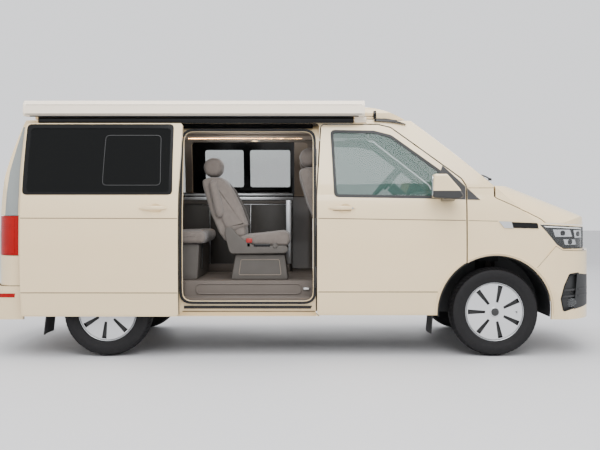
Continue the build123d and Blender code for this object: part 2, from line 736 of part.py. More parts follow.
save(both_sides(headlight), "headlights")
save(cut(grille, grille_slots.part), "grille")

BUMPER_WALL = 24
VENT_OUTLINE = from_front([
    (578, 634), (667, 643), (686, 595), (681, 438), (651, 378), (528, 349), (504, 447), (533, 545),
])


def bumper_volume(inset):
    """The fuller nose and tail that the two bumpers follow."""
    return keep(across_prism(inset, 285 if inset == 0 else UNDER), plan_prism(inset, 0, 0), side_prism(inset, 0))


TOW_Y = 477.5
TOW_Z = 477
TOW_RADIUS = 11
TOW_DEPTH = 60
TOW_PORT = 36
with BuildPart() as rear_port:
    with BuildSketch(Plane.YZ.offset(TAIL_X - 10)):
        with Locations((TOW_Y, TOW_Z)):
            Circle(27)
    extrude(amount=NOSE_X - FRONT_AXLE_X - 690)
# The front port is square and the strip above and below it stands apart from the rest of the bumper.
port_ahead = (FRONT_AXLE_X + 700, NOSE_X + 10)
front_port = box_between(*port_ahead, -TOW_Y - TOW_PORT, -TOW_Y + TOW_PORT, TOW_Z - TOW_PORT, TOW_Z + TOW_PORT)
strip_joints = [
    box_between(*port_ahead, edge, edge + SEAT_GAP, 200, 900)
    for edge in (-TOW_Y - TOW_PORT - SEAT_GAP, -TOW_Y + TOW_PORT)
]
bumper_shell = cut(bumper_volume(0), bumper_volume(BUMPER_WALL))
front_bumper = cut(
    keep(bumper_shell, outline_block(BUMPER_OUTLINE, 0, 0, -OUT, OUT)),
    front_hole, mirrored(front_hole),
    gate_block([(-430, 410), (-400, 560), (400, 560), (430, 410)], 24, 0, FRONT_AXLE_X + 400, NOSE_X + 10),
    front_port, *strip_joints,
    both_sides(outline_block(VENT_OUTLINE, 18, 0, 660, OUT)),
)
rear_bumper = cut(
    keep(bumper_shell, box_between(TAIL_X - 10, REAR_AXLE_X - 650 - SEAT_GAP, -OUT, OUT, 285, 545)),
    rear_port.part,
)
save(front_bumper, "front_bumper")
save(rear_bumper, "rear_bumper")
tail_lamp = keep(wall_shell, box_between(TAIL_X, REAR_AXLE_X - 672 - SEAT_GAP, 776, OUT, 785, 1086))
save(both_sides(tail_lamp), "tail_lamps")

# ------------------------------------------------ tailgate
gate_block_shut = gate_block(GATE_OUTLINE, 40, 0, TAIL_X - 50, REAR_AXLE_X - 500)
gate_pane = gate_block(GATE_WINDOW, 50, 0, TAIL_X - 50, REAR_AXLE_X - 500)
GATE_HINGE = (depth_on(circle_through(*shifted(TAIL_LINE, REAR_AXLE_X)), 1779) + 8, 1779)
GATE_HINGE_Y = 400
gate_notches = both_sides(
    box_between(GATE_HINGE[0] - 60, GATE_HINGE[0] + 120, GATE_HINGE_Y - 20, GATE_HINGE_Y + 20, 1764, HEIGHT)
)
with BuildPart() as gate_pins:
    for side in (-1, 1):
        with BuildSketch(Plane.XZ.offset(-side * GATE_HINGE_Y - 30)):
            with Locations(GATE_HINGE):
                Circle(PIN_RADIUS)
        extrude(amount=60)
with BuildPart() as gate_ears:
    for side in (-1, 1):
        with BuildSketch(Plane.XZ.offset(-side * GATE_HINGE_Y - 14)):
            with Locations(GATE_HINGE):
                Circle(KNUCKLE_RADIUS)
            with BuildLine():
                x, z = GATE_HINGE
                Polyline(
                    (x - 5, z + 5), (x + 5, z - 5), (x + 44, z + 22), (x + 44, z + 34), (x + 18, z + 34),
                    close=True,
                )
            make_face()
            with Locations(GATE_HINGE):
                Circle(PIN_RADIUS + RUNNING_GAP, mode=Mode.SUBTRACT)
        extrude(amount=28)
tailgate = join(cut(keep(wall_shell, gate_block_shut), gate_pane, gate_notches), gate_pins.part)
save(tailgate, "tailgate")
save(keep(glass_shell, gate_block(GATE_WINDOW, 50, -SEAT_GAP, TAIL_X - 50, REAR_AXLE_X - 500)), "tailgate_glass")

# ------------------------------------------------ raising roof
ROOF_REAR_X = REAR_AXLE_X - 603
ROOF_NOSE_X = FRONT_AXLE_X - 683
ROOF_HALF = 745
ROOF_WALL = 30
roof_circle = circle_through(*shifted(ROOF_LINE, REAR_AXLE_X))


def lid_volume(inset):
    """Closed volume of the raising roof, moved inward by inset."""
    half = ROOF_HALF - inset
    top = HEIGHT - inset
    with BuildPart() as part:
        with BuildSketch(Plane.YZ.offset(ROOF_REAR_X + inset)):
            with BuildLine():
                wall = Line((half, 1700), (half, 1900))
                shoulder = ThreePointArc(wall @ 1, (half - 28, top - 62), (half - 100, top - 34))
                ThreePointArc(shoulder @ 1, (0, top), (100 - half, top - 34))
                mirror(wall, about=Plane.YZ)
                mirror(shoulder, about=Plane.YZ)
                Line((half, 1700), (-half, 1700))
            make_face()
        extrude(amount=ROOF_NOSE_X - ROOF_REAR_X - 2 * inset)
        with BuildSketch(Plane.XZ.offset(-HALF_WIDTH)):
            with BuildLine():
                rise = ThreePointArc(
                    (ROOF_REAR_X + inset, 1890), (ROOF_REAR_X + 60 + inset, top - 34), (ROOF_REAR_X + 260, top - 12)
                )
                ridge = ThreePointArc(rise @ 1, (ROOF_REAR_X + 1400, top), (ROOF_NOSE_X - 420, top - 24))
                brow = ThreePointArc(
                    ridge @ 1, (ROOF_NOSE_X - 150, top - 72), (ROOF_NOSE_X - inset, 1846)
                )
                Polyline(brow @ 1, (ROOF_NOSE_X - inset, 1700), (ROOF_REAR_X + inset, 1700), rise @ 0)
            make_face()
        extrude(amount=2 * HALF_WIDTH, mode=Mode.INTERSECT)
    return part.part


def roof_cover(lift):
    """Everything under the body's roof line, raised by lift."""
    with BuildPart() as part:
        with BuildSketch(Plane.XZ.offset(-OUT)):
            with BuildLine():
                xs = (TAIL_X, 0, NOSE_X - 400)
                arc = ThreePointArc(*[(x, height_on(roof_circle, x) + lift) for x in xs])
                Polyline(arc @ 1, (xs[2], 1000), (xs[0], 1000), arc @ 0)
            make_face()
        extrude(amount=2 * OUT)
    return part.part


ROOF_HINGE = (ROOF_REAR_X + 12, 1884)
ear_slots = both_sides(box_between(ROOF_REAR_X - 5, ROOF_REAR_X + 90, 681, 709, 1700, 1903))
roof_lid = cut(lid_volume(0), lid_volume(ROOF_WALL), roof_cover(8), ear_slots)
with BuildPart() as roof_pins:
    for side in (-1, 1):
        with BuildSketch(Plane.XZ.offset(-side * (ROOF_HALF - ROOF_WALL + 4) - (45 if side < 0 else 0))):
            with Locations(ROOF_HINGE):
                Circle(6)
        extrude(amount=45)
save(join(roof_lid, roof_pins.part), "pop_up_roof")
with BuildPart() as roof_ears:
    for side in (-1, 1):
        with BuildSketch(Plane.XZ.offset(-side * 694 - 5)):
            with BuildLine():
                Polyline(
                    (ROOF_HINGE[0] - 8, 1800), (ROOF_HINGE[0] - 8, 1892), (ROOF_HINGE[0] + 10, 1894),
                    (ROOF_HINGE[0] + 70, 1800), close=True,
                )
            make_face()
            with Locations(ROOF_HINGE):
                Circle(6 + RUNNING_GAP, mode=Mode.SUBTRACT)
        extrude(amount=10)
    add(outside, mode=Mode.SUBTRACT)
save(join(roof_frame, roof_ears.part, gate_ears.part), "roof_frame")

# ------------------------------------------------ tent folded under the roof
with BuildPart() as tent:
    with BuildSketch(Plane.XY.offset(1800)):
        with Locations(((HATCH_X[0] + HATCH_X[1]) / 2, 0)):
            Rectangle(HATCH_X[1] - HATCH_X[0] + 60, 2 * HATCH_Y + 110)
            Rectangle(HATCH_X[1] - HATCH_X[0] + 10, 2 * HATCH_Y + 60, mode=Mode.SUBTRACT)
    extrude(amount=92)
    add(roof_cover(SEAT_GAP), mode=Mode.SUBTRACT)
save(tent.part, "tent_bellows")

# ------------------------------------------------ awning cassette on the right side
AWNING_X = (-2098, 525)
with BuildPart() as awning:
    with BuildSketch(Plane.YZ.offset(AWNING_X[0])):
        with BuildLine():
            FilletPolyline(
                (-800, 1863), (-800, 1978), (-868, 1983), (-903, 1948), (-908, 1880), (-892, 1861),
                radius=9, close=True,
            )
        make_face()
    extrude(amount=AWNING_X[1] - AWNING_X[0])
with BuildPart() as awning_feet:
    for x in (AWNING_X[0] + 260, (AWNING_X[0] + AWNING_X[1]) / 2, AWNING_X[1] - 60):
        with BuildSketch(Plane.YZ.offset(x)):
            with BuildLine():
                Polyline(
                    (-816, 1864), (-790, 1864), (-765, 1850), (-770, 1822), (-800, 1820), (-812, 1836),
                    close=True,
                )
            make_face()
        extrude(amount=90)
    add(outside, mode=Mode.SUBTRACT)
save(join(awning.part, awning_feet.part), "awning")

# ------------------------------------------------ floor, step and members
MEMBER_Z = FLOOR_Z - 140
with BuildPart() as floor_pan:
    with BuildSketch(Plane.XY.offset(FLOOR_Z - FLOOR_THICK)):
        with Locations(((TAIL_X + 140 + BULKHEAD_X - 1) / 2, 0)):
            Rectangle(BULKHEAD_X - 1 - TAIL_X - 140, 2 * HALF_WIDTH)
    extrude(amount=FLOOR_THICK)
    with BuildSketch(Plane.XY.offset(SILL_Z + 30)):
        for side in (-1, 1):
            with Locations(((ENTRY_REAR_X + BULKHEAD_X) / 2, side * (HALF_WIDTH - 175))):
                Rectangle(BULKHEAD_X - ENTRY_REAR_X - 2, 70)
    extrude(amount=FLOOR_Z - FLOOR_THICK - SILL_Z - 30)
    with BuildSketch(Plane.XY.offset(STEP_Z - 30)):
        with Locations(((ENTRY_REAR_X + ENTRY_FRONT_X) / 2, -HALF_WIDTH + 160)):
            Rectangle(ENTRY_FRONT_X - ENTRY_REAR_X + 20, 300)
    extrude(amount=FLOOR_Z - FLOOR_THICK - STEP_Z + 30)
    with BuildSketch(Plane.XY.offset(STEP_Z)):
        with Locations(((ENTRY_REAR_X + ENTRY_FRONT_X) / 2, -HALF_WIDTH + 130)):
            Rectangle(ENTRY_FRONT_X - ENTRY_REAR_X, 300)
    extrude(amount=FLOOR_Z, mode=Mode.SUBTRACT)
    add(inside_low, mode=Mode.INTERSECT)
    for hole in (rear_hole, front_hole):
        add(hole, mode=Mode.SUBTRACT)
        add(mirrored(hole), mode=Mode.SUBTRACT)
with BuildPart() as members:
    with BuildSketch(Plane.XY.offset(MEMBER_Z)):
        for side in (-1, 1):
            with Locations(((TAIL_X + 160 + FRONT_AXLE_X + 700) / 2, side * (MEMBER_Y[0] + MEMBER_Y[1]) / 2)):
                Rectangle(FRONT_AXLE_X + 700 - TAIL_X - 160, MEMBER_Y[1] - MEMBER_Y[0])
        for x in (REAR_AXLE_X - 520, REAR_AXLE_X + 620, FRONT_AXLE_X - 620, FRONT_AXLE_X + 640):
            with Locations((x, 0)):
                Rectangle(90, 2 * MEMBER_Y[0] + 40)
    extrude(amount=FLOOR_Z - FLOOR_THICK - MEMBER_Z)
    with BuildSketch(Plane.XY.offset(722)):
        for side in (-1, 1):
            with Locations((FRONT_AXLE_X, side * 580)):
                Rectangle(150, 190)
    extrude(amount=56)
    with BuildSketch(Plane.XY.offset(FLOOR_Z - FLOOR_THICK - 6)):
        for side in (-1, 1):
            with Locations((FRONT_AXLE_X, side * 490)):
                Rectangle(150, 22)
    extrude(amount=230)
    add(bulkhead, mode=Mode.SUBTRACT)
with BuildPart() as tow_bosses:
    for start, length, side in ((FRONT_AXLE_X + 700, 87, -1), (TAIL_X + 80, 80, 1)):
        with BuildSketch(Plane.YZ.offset(start)):
            with Locations((side * TOW_Y, TOW_Z)):
                Circle(22)
        extrude(amount=length)
with BuildPart() as tow_holes:
    for start, side in ((FRONT_AXLE_X + 787 - TOW_DEPTH, -1), (TAIL_X + 80, 1)):
        with BuildSketch(Plane.YZ.offset(start)):
            with Locations((side * TOW_Y, TOW_Z)):
                Circle(TOW_RADIUS)
        extrude(amount=TOW_DEPTH)

STRUT_RADIUS = 24
PIVOT_RADIUS = 11
tilt = radians(KINGPIN_TILT)
kingpin_plane = Plane(
    origin=(FRONT_AXLE_X, KINGPIN_Y, AXLE_Z), x_dir=(1, 0, 0), z_dir=(0, -sin(tilt), cos(tilt)),
)
with BuildPart() as pivot_bores:
    for height in (-190, 300):
        with BuildSketch(kingpin_plane.offset(height)):
            Circle(PIVOT_RADIUS + RUNNING_GAP)
        extrude(amount=150)
    mirror(about=Plane.XZ)
save(cut(join(floor_pan.part, members.part), pivot_bores.part), "floor_pan")
save(cut(tow_bosses.part, tow_holes.part), "tow_sockets")

# ------------------------------------------------ wheel arch liners
LINER = 6


def arch_liner(x, inner_y, tower):
    """Half tunnel over a wheel with its inner wall."""
    with BuildPart() as part:
        with BuildSketch(Plane.XZ.offset(-(HALF_WIDTH - 30))):
            with Locations((x, AXLE_Z)):
                Circle(ARCH_RADIUS - 4)
                Circle(ARCH_RADIUS - 4 - LINER, mode=Mode.SUBTRACT)
                with Locations((0, -400)):
                    Rectangle(1200, 720, mode=Mode.SUBTRACT)
        extrude(amount=HALF_WIDTH - 30 - inner_y)
        with BuildSketch(Plane.XZ.offset(-(inner_y + LINER))):
            with Locations((x, AXLE_Z)):
                Circle(ARCH_RADIUS - 4)
                with Locations((0, -400)):
                    Rectangle(1200, 720, mode=Mode.SUBTRACT)
        extrude(amount=LINER)
        add(tower, mode=Mode.SUBTRACT)
    return part.part


front_liner = arch_liner(
    FRONT_AXLE_X, FRONT_WELL_Y + SEAT_GAP, box_between(FRONT_AXLE_X - 82, FRONT_AXLE_X + 82, 400, 690, 600, 900)
)
rear_liner = arch_liner(
    REAR_AXLE_X, REAR_WELL_Y + SEAT_GAP, box_between(REAR_AXLE_X - 75, REAR_AXLE_X + 75, 500, 640, 0, AXLE_Z + 75)
)
save(both_sides(keep(join(front_liner, rear_liner), nose_inside)), "arch_liners")

# ------------------------------------------------ axles, knuckles and wheels
STUB_Y = (734, 842)
CARRIER_Y = 762
with BuildPart() as knuckle:
    with BuildSketch(Plane.XZ.offset(-CARRIER_Y)):
        with Locations((FRONT_AXLE_X, AXLE_Z)):
            Circle(56)
        with Locations((FRONT_AXLE_X, AXLE_Z - 40)):
            Rectangle(60, 140)
        with Locations((FRONT_AXLE_X, AXLE_Z + 60)):
            Rectangle(64, 120)
    extrude(amount=66)
    with BuildSketch(Plane.XZ.offset(-STUB_Y[1])):
        with Locations((FRONT_AXLE_X, AXLE_Z)):
            Circle(STUB_RADIUS)
    extrude(amount=STUB_Y[1] - STUB_Y[0])
    with BuildSketch(kingpin_plane.offset(60)):
        Circle(STRUT_RADIUS)
    extrude(amount=310)
    with BuildSketch(kingpin_plane.offset(360)):
        Circle(PIVOT_RADIUS)
    extrude(amount=66)
    with BuildSketch(kingpin_plane.offset(-160)):
        Circle(PIVOT_RADIUS)
    extrude(amount=80)
save(knuckle.part, "knuckle_left")
save(mirrored(knuckle.part), "knuckle_right")

with BuildPart() as front_axle:
    with BuildSketch(Plane.XY.offset(236)):
        with Locations((FRONT_AXLE_X, 0)):
            Rectangle(300, 2 * MEMBER_Y[0] + 40)
            Rectangle(160, 500, mode=Mode.SUBTRACT)
    extrude(amount=56)
    with BuildSketch(Plane.XY.offset(290)):
        for side in (-1, 1):
            for x in (-110, 110):
                with Locations((FRONT_AXLE_X + x, side * (MEMBER_Y[0] + 22))):
                    Rectangle(60, 34)
    extrude(amount=MEMBER_Z - 290)
    with BuildSketch(Plane.XY.offset(200)):
        with BuildLine():
            Polyline(
                (FRONT_AXLE_X - 140, 440), (FRONT_AXLE_X + 60, 440), (FRONT_AXLE_X + 26, 745),
                (FRONT_AXLE_X - 26, 745), close=True,
            )
        make_face()
        with Locations((FRONT_AXLE_X, 747)):
            Circle(27)
        mirror(about=Plane.XZ)
    extrude(amount=24)
    with BuildSketch(Plane.XY.offset(222)):
        for side in (-1, 1):
            with Locations((FRONT_AXLE_X - 40, side * 455)):
                Rectangle(190, 30)
    extrude(amount=16)
save(cut(front_axle.part, pivot_bores.part), "front_axle")

ARM_Y = (MEMBER_Y[1] + 12, REAR_WELL_Y - 4)
PIVOT_X = REAR_AXLE_X + 530
with BuildPart() as rear_axle:
    with BuildSketch(Plane.XZ.offset(-ARM_Y[1])):
        with Locations((REAR_AXLE_X + 30, AXLE_Z + 16)):
            Rectangle(120, 76)
    extrude(amount=2 * ARM_Y[1])
    for side in (-1, 1):
        middle = side * (ARM_Y[0] + ARM_Y[1]) / 2
        arm_wide = ARM_Y[1] - ARM_Y[0]
        with BuildSketch(Plane.XZ.offset(-middle - arm_wide / 2)):
            with BuildLine():
                Polyline(
                    (REAR_AXLE_X - 50, AXLE_Z - 40), (REAR_AXLE_X - 50, AXLE_Z + 50), (REAR_AXLE_X + 200, AXLE_Z + 60),
                    (PIVOT_X + 30, MEMBER_Z - 4), (PIVOT_X + 30, MEMBER_Z - 60), (REAR_AXLE_X + 120, AXLE_Z - 34),
                    close=True,
                )
            make_face()
        extrude(amount=arm_wide)
        with BuildSketch(Plane.XZ.offset(-side * (MEMBER_Y[0] + ARM_Y[1]) / 2 - (ARM_Y[1] - MEMBER_Y[0]) / 2)):
            with Locations((PIVOT_X, MEMBER_Z - 32)):
                Circle(24)
        extrude(amount=ARM_Y[1] - MEMBER_Y[0])
        with BuildSketch(Plane.XZ.offset(-side * (MEMBER_Y[0] + MEMBER_Y[1]) / 2 - 26)):
            with Locations((PIVOT_X, MEMBER_Z - 16)):
                Rectangle(60, 32)
            with Locations((REAR_AXLE_X + 30, (AXLE_Z + 50 + MEMBER_Z) / 2)):
                Rectangle(90, MEMBER_Z - AXLE_Z - 50)
        extrude(amount=52)
        for inner, outer, radius in ((ARM_Y[0], CARRIER_Y, 56), (CARRIER_Y - 1, STUB_Y[1], STUB_RADIUS)):
            with BuildSketch(Plane.XZ.offset(-side * (inner + outer) / 2 - (outer - inner) / 2)):
                with Locations((REAR_AXLE_X, AXLE_Z)):
                    Circle(radius)
            extrude(amount=outer - inner)
save(rear_axle.part, "rear_axle")

COVER_Y = 94
AXLE_PLACES = (
    ("front_left", FRONT_AXLE_X, 1, 180),
    ("front_right", FRONT_AXLE_X, -1, 180),
    ("rear_left", REAR_AXLE_X, 1, 160),
    ("rear_right", REAR_AXLE_X, -1, 160),
)


def wheel_at(x, turn):
    """Left wheel: well, spider, hub bored for its stub and a slotted cover."""
    hub_in = 770 - HALF_TRACK
    with BuildPart() as part:
        with BuildSketch(Plane.YZ.offset(x)):
            with BuildLine():
                Polyline(
                    (HALF_TRACK - 92, AXLE_Z + RIM_RADIUS + 14), (HALF_TRACK - 92, AXLE_Z + 188),
                    (HALF_TRACK + 60, AXLE_Z + 180), (HALF_TRACK + 60, AXLE_Z + HUB_RADIUS),
                    (HALF_TRACK + hub_in, AXLE_Z + HUB_RADIUS), (HALF_TRACK + hub_in, AXLE_Z),
                    (HALF_TRACK + COVER_Y + 6, AXLE_Z), (HALF_TRACK + COVER_Y + 6, AXLE_Z + 34),
                    (HALF_TRACK + COVER_Y, AXLE_Z + 40), (HALF_TRACK + COVER_Y, AXLE_Z + 70),
                    (HALF_TRACK + COVER_Y - 12, AXLE_Z + COVER_RADIUS - 10),
                    (HALF_TRACK + COVER_Y - 18, AXLE_Z + COVER_RADIUS),
                    (HALF_TRACK + COVER_Y - 24, AXLE_Z + COVER_RADIUS),
                    (HALF_TRACK + COVER_Y - 24, AXLE_Z + RIM_RADIUS - 4),
                    (HALF_TRACK + COVER_Y - 10, AXLE_Z + HUB_RADIUS),
                    (HALF_TRACK + 68, AXLE_Z + HUB_RADIUS),
                    (HALF_TRACK + 68, AXLE_Z + 196), (HALF_TRACK + 50, AXLE_Z + RIM_RADIUS),
                    (HALF_TRACK - 78, AXLE_Z + RIM_RADIUS), (HALF_TRACK - 84, AXLE_Z + RIM_RADIUS + 14),
                    close=True,
                )
            make_face()
        revolve(axis=Axis((x, 0, AXLE_Z), (0, 1, 0)), revolution_arc=360)
        with BuildSketch(Plane.XZ.offset(-(STUB_Y[1] + 4))):
            with Locations((x, AXLE_Z)):
                Circle(STUB_RADIUS + RUNNING_GAP)
        extrude(amount=200, mode=Mode.SUBTRACT)
        with BuildSketch(Plane.XZ.offset(-(HALF_TRACK + COVER_Y + 10))):
            with Locations((x, AXLE_Z)):
                with PolarLocations(0, SLOT_COUNT, start_angle=turn):
                    with Locations((141, 0)):
                        Trapezoid(38, 132, 86, rotation=90)
        extrude(amount=36, mode=Mode.SUBTRACT)
    return part.part


def tyre_at(x):
    """Left tyre with rounded shoulders, seated on the rim."""
    low = RIM_RADIUS + SEAT_GAP
    half = TYRE_WIDTH / 2
    with BuildPart() as part:
        with BuildSketch(Plane.YZ.offset(x)):
            with BuildLine():
                bead = Polyline(
                    (HALF_TRACK - 90, AXLE_Z + RIM_RADIUS + 26), (HALF_TRACK - 80, AXLE_Z + RIM_RADIUS + 16),
                    (HALF_TRACK - 74, AXLE_Z + low), (HALF_TRACK + 48, AXLE_Z + low),
                    (HALF_TRACK + 58, AXLE_Z + RIM_RADIUS + 26),
                )
                flank = ThreePointArc(
                    bead @ 1, (HALF_TRACK + half, AXLE_Z + 282), (HALF_TRACK + half - 14, AXLE_Z + TYRE_RADIUS - 14)
                )
                tread = ThreePointArc(
                    flank @ 1, (HALF_TRACK, AXLE_Z + TYRE_RADIUS), (HALF_TRACK - half + 14, AXLE_Z + TYRE_RADIUS - 14)
                )
                ThreePointArc(tread @ 1, (HALF_TRACK - half, AXLE_Z + 282), bead @ 0)
            make_face()
        revolve(axis=Axis((x, 0, AXLE_Z), (0, 1, 0)), revolution_arc=360)
    return part.part


for label, x, side, turn in AXLE_PLACES:
    wheel = wheel_at(x, turn)
    tyre = tyre_at(x)
    save(wheel if side > 0 else mirrored(wheel), f"wheel_{label}")
    save(tyre if side > 0 else mirrored(tyre), f"tyre_{label}")

# ------------------------------------------------ underneath
with BuildPart() as engine:
    with BuildSketch(Plane.XY.offset(292)):
        with Locations((FRONT_AXLE_X + 190, 0)):
            RectangleRounded(540, 2 * MEMBER_Y[0] - 90, 30)
    extrude(amount=620)
save(engine.part, "engine_block")
with BuildPart() as tank:
    with BuildSketch(Plane.XY.offset(300)):
        with Locations((FRONT_AXLE_X - 1100, -190)):
            RectangleRounded(800, 440, 60)
    extrude(amount=FLOOR_Z - FLOOR_THICK - 300)
save(tank.part, "fuel_tank")
with BuildPart() as exhaust:
    with BuildSketch(Plane.YZ.offset(REAR_AXLE_X - 560)):
        with Locations((260, 280)):
            Circle(27)
    extrude(amount=FRONT_AXLE_X - 300 - REAR_AXLE_X + 560 - 200)
    with BuildSketch(Plane.YZ.offset(REAR_AXLE_X + 900)):
        with Locations((260, 330)):
            Ellipse(120, 78)
    extrude(amount=620)
    with BuildSketch(Plane.YZ.offset(REAR_AXLE_X + 980)):
        with Locations((260, 465)):
            Rectangle(30, 124)
    extrude(amount=30)
save(exhaust.part, "exhaust")

# ------------------------------------------------ cab
FIT = WALL + 6
inside_fit = body_volume(FIT, UNDER)
with BuildPart() as dash:
    with BuildSketch(Plane.XZ.offset(-HALF_WIDTH)):
        with BuildLine():
            FilletPolyline(
                (BULKHEAD_X - SEAT_GAP, 1010), (BULKHEAD_X - SEAT_GAP, 1296), (BULKHEAD_X - 250, 1300),
                (BULKHEAD_X - 400, 1236), (BULKHEAD_X - 440, 1120), (BULKHEAD_X - 330, 960),
                (BULKHEAD_X - 180, 930), radius=36, close=True,
            )
        make_face()
    extrude(amount=2 * HALF_WIDTH)
    add(inside_fit, mode=Mode.INTERSECT)
    add(box_between(0, NOSE_X, -HALF_WIDTH + 122, HALF_WIDTH - 122, 900, 1400), mode=Mode.INTERSECT)
STEER_Y = 420
STEER_CENTRE = (FRONT_AXLE_X - 719, STEER_Y, 1388)
STEER_LEAN = 42
lean = radians(STEER_LEAN)
steer_plane = Plane(origin=STEER_CENTRE, x_dir=(0, 1, 0), z_dir=(-cos(lean), 0, sin(lean)))
with BuildPart() as column:
    with BuildSketch(steer_plane.offset(-420)):
        Circle(46)
    extrude(amount=360)
    with BuildSketch(steer_plane.offset(-70)):
        Circle(12)
    extrude(amount=62)
save(join(dash.part, column.part), "dashboard")
with BuildPart() as steering:
    with BuildSketch(Plane(origin=STEER_CENTRE, x_dir=(0, 1, 0), z_dir=steer_plane.x_dir.cross(steer_plane.z_dir))):
        with Locations((180, 0)):
            Ellipse(15, 15)
    revolve(axis=Axis(STEER_CENTRE, steer_plane.z_dir), revolution_arc=360)
    with BuildSketch(steer_plane.offset(-44)):
        Circle(62)
        with Locations((0, 0)):
            Rectangle(340, 44)
        with Locations((0, -85)):
            Rectangle(40, 170)
    extrude(amount=34)
    with BuildSketch(steer_plane.offset(-60)):
        Circle(12 + RUNNING_GAP)
    extrude(amount=54, mode=Mode.SUBTRACT)
save(steering.part, "steering_wheel")


def seat_at(x, y, cushion_z, base_z, width, lean_back, back_top):
    """Seat shell: cushion, leaning back, head rest and pedestal, its rear corner at x."""
    rise = back_top - cushion_z
    with BuildPart() as part:
        with BuildSketch(Plane.XZ.offset(-y - width / 2)):
            with BuildLine():
                FilletPolyline(
                    (x, cushion_z - 130), (x + 500, cushion_z - 120), (x + 520, cushion_z + 10),
                    (x + 130, cushion_z), (x + 110 - lean_back, cushion_z + rise),
                    (x - 10 - lean_back, cushion_z + rise), (x - 30, cushion_z), radius=34, close=True,
                )
            make_face()
        extrude(amount=width)
        with BuildSketch(Plane.XY.offset(base_z)):
            with Locations((x + 260, y)):
                RectangleRounded(430, width - 70, 30)
        extrude(amount=cushion_z - 128 - base_z)
        with BuildSketch(Plane.XZ.offset(-y - 130)):
            with BuildLine():
                FilletPolyline(
                    (x - 10 - lean_back, cushion_z + rise + 20), (x - 40 - lean_back, cushion_z + rise + 180),
                    (x + 60 - lean_back, cushion_z + rise + 196), (x + 98 - lean_back, cushion_z + rise + 30),
                    radius=30, close=True,
                )
            make_face()
        extrude(amount=260)
        with BuildSketch(Plane.XY.offset(cushion_z + rise - 40)):
            for offset_y in (-60, 60):
                with Locations((x + 46 - lean_back, y + offset_y)):
                    Circle(8)
        extrude(amount=90)
    return part.part


save(join(
    seat_at(FRONT_AXLE_X - 1320, 430, 985, FLOOR_Z, 500, 170, 1430),
    seat_at(FRONT_AXLE_X - 1320, -430, 985, FLOOR_Z, 500, 170, 1430),
), "front_seats")
save(seat_at(ENTRY_REAR_X + 315, -390, 905, FLOOR_Z, 470, 170, 1391), "cabin_seat")

# ------------------------------------------------ living space
BENCH_FRONT_X = ENTRY_REAR_X + 153
with BuildPart() as bench:
    with BuildSketch(Plane.XY.offset(FLOOR_Z)):
        with Locations((BENCH_FRONT_X - 290, -105)):
            RectangleRounded(450, 880, 20)
    extrude(amount=288)
    with BuildSketch(Plane.XZ.offset(-360)):
        with BuildLine():
            FilletPolyline(
                (BENCH_FRONT_X - 560, 855), (BENCH_FRONT_X, 855), (BENCH_FRONT_X, 963), (BENCH_FRONT_X - 440, 950),
                (BENCH_FRONT_X - 590, 1470), (BENCH_FRONT_X - 710, 1455), radius=34, close=True,
            )
        make_face()
    extrude(amount=980)
save(bench.part, "rear_bench")
KITCHEN_FRONT_Y = 380
with BuildPart() as kitchen:
    with BuildSketch(Plane.XY.offset(FLOOR_Z)):
        with Locations(((ENTRY_REAR_X - 370 + ENTRY_FRONT_X - 183) / 2, (KITCHEN_FRONT_Y + HALF_WIDTH) / 2)):
            RectangleRounded(ENTRY_FRONT_X - 183 - ENTRY_REAR_X + 370, HALF_WIDTH - KITCHEN_FRONT_Y, 24)
    extrude(amount=719)
    with BuildSketch(Plane.XY.offset(FLOOR_Z)):
        with Locations((ENTRY_REAR_X - 700, (KITCHEN_FRONT_Y + 90 + HALF_WIDTH) / 2)):
            Rectangle(656, HALF_WIDTH - KITCHEN_FRONT_Y - 90)
    extrude(amount=1180)
    add(body_volume(FIT + 4, UNDER), mode=Mode.INTERSECT)
    add(rear_hole, mode=Mode.SUBTRACT)
save(kitchen.part, "kitchen_unit")
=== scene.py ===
"""Camper van with a raising roof, a side awning and its sliding door open.

Every piece is in metres in the van's own frame: X forward, Y to the left, Z up.
"""
import math

import bmesh
import bpy
import numpy as np
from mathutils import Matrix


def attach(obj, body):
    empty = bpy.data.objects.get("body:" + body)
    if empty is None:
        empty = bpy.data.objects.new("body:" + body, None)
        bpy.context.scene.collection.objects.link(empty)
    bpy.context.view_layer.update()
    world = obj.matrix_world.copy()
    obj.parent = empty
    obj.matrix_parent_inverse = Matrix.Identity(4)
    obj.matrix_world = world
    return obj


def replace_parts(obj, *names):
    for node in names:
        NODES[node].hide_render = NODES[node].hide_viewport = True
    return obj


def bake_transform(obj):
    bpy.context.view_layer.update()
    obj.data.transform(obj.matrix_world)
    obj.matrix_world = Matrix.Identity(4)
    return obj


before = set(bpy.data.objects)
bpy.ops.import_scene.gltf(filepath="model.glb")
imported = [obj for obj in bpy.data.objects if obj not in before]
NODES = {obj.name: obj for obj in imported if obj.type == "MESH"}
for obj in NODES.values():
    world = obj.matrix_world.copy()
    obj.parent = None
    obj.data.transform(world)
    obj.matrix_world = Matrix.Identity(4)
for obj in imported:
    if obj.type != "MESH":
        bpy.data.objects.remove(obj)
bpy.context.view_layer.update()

FRONT_AXLE, REAR_AXLE, AXLE_Z, HALF_TRACK = 1.543, -1.457, 0.343, 0.814
RIGHT, LEFT = -1, 1
SIDES = (("right", RIGHT), ("left", LEFT))
# Where one finish of a node gives way to the next: floor, wheels and mirrors.
UNDERSEAL_X, WHEEL_COVER_Y, MIRROR_CAP_LOW = 1.15, 0.8875, 1.277
# Planes outside the van from which a thin panel is laid on it: beside nose and tail, and ahead or behind.
BESIDE_NOSE, BESIDE_TAIL, BEYOND_END = 1.05, 1.10, 2.60


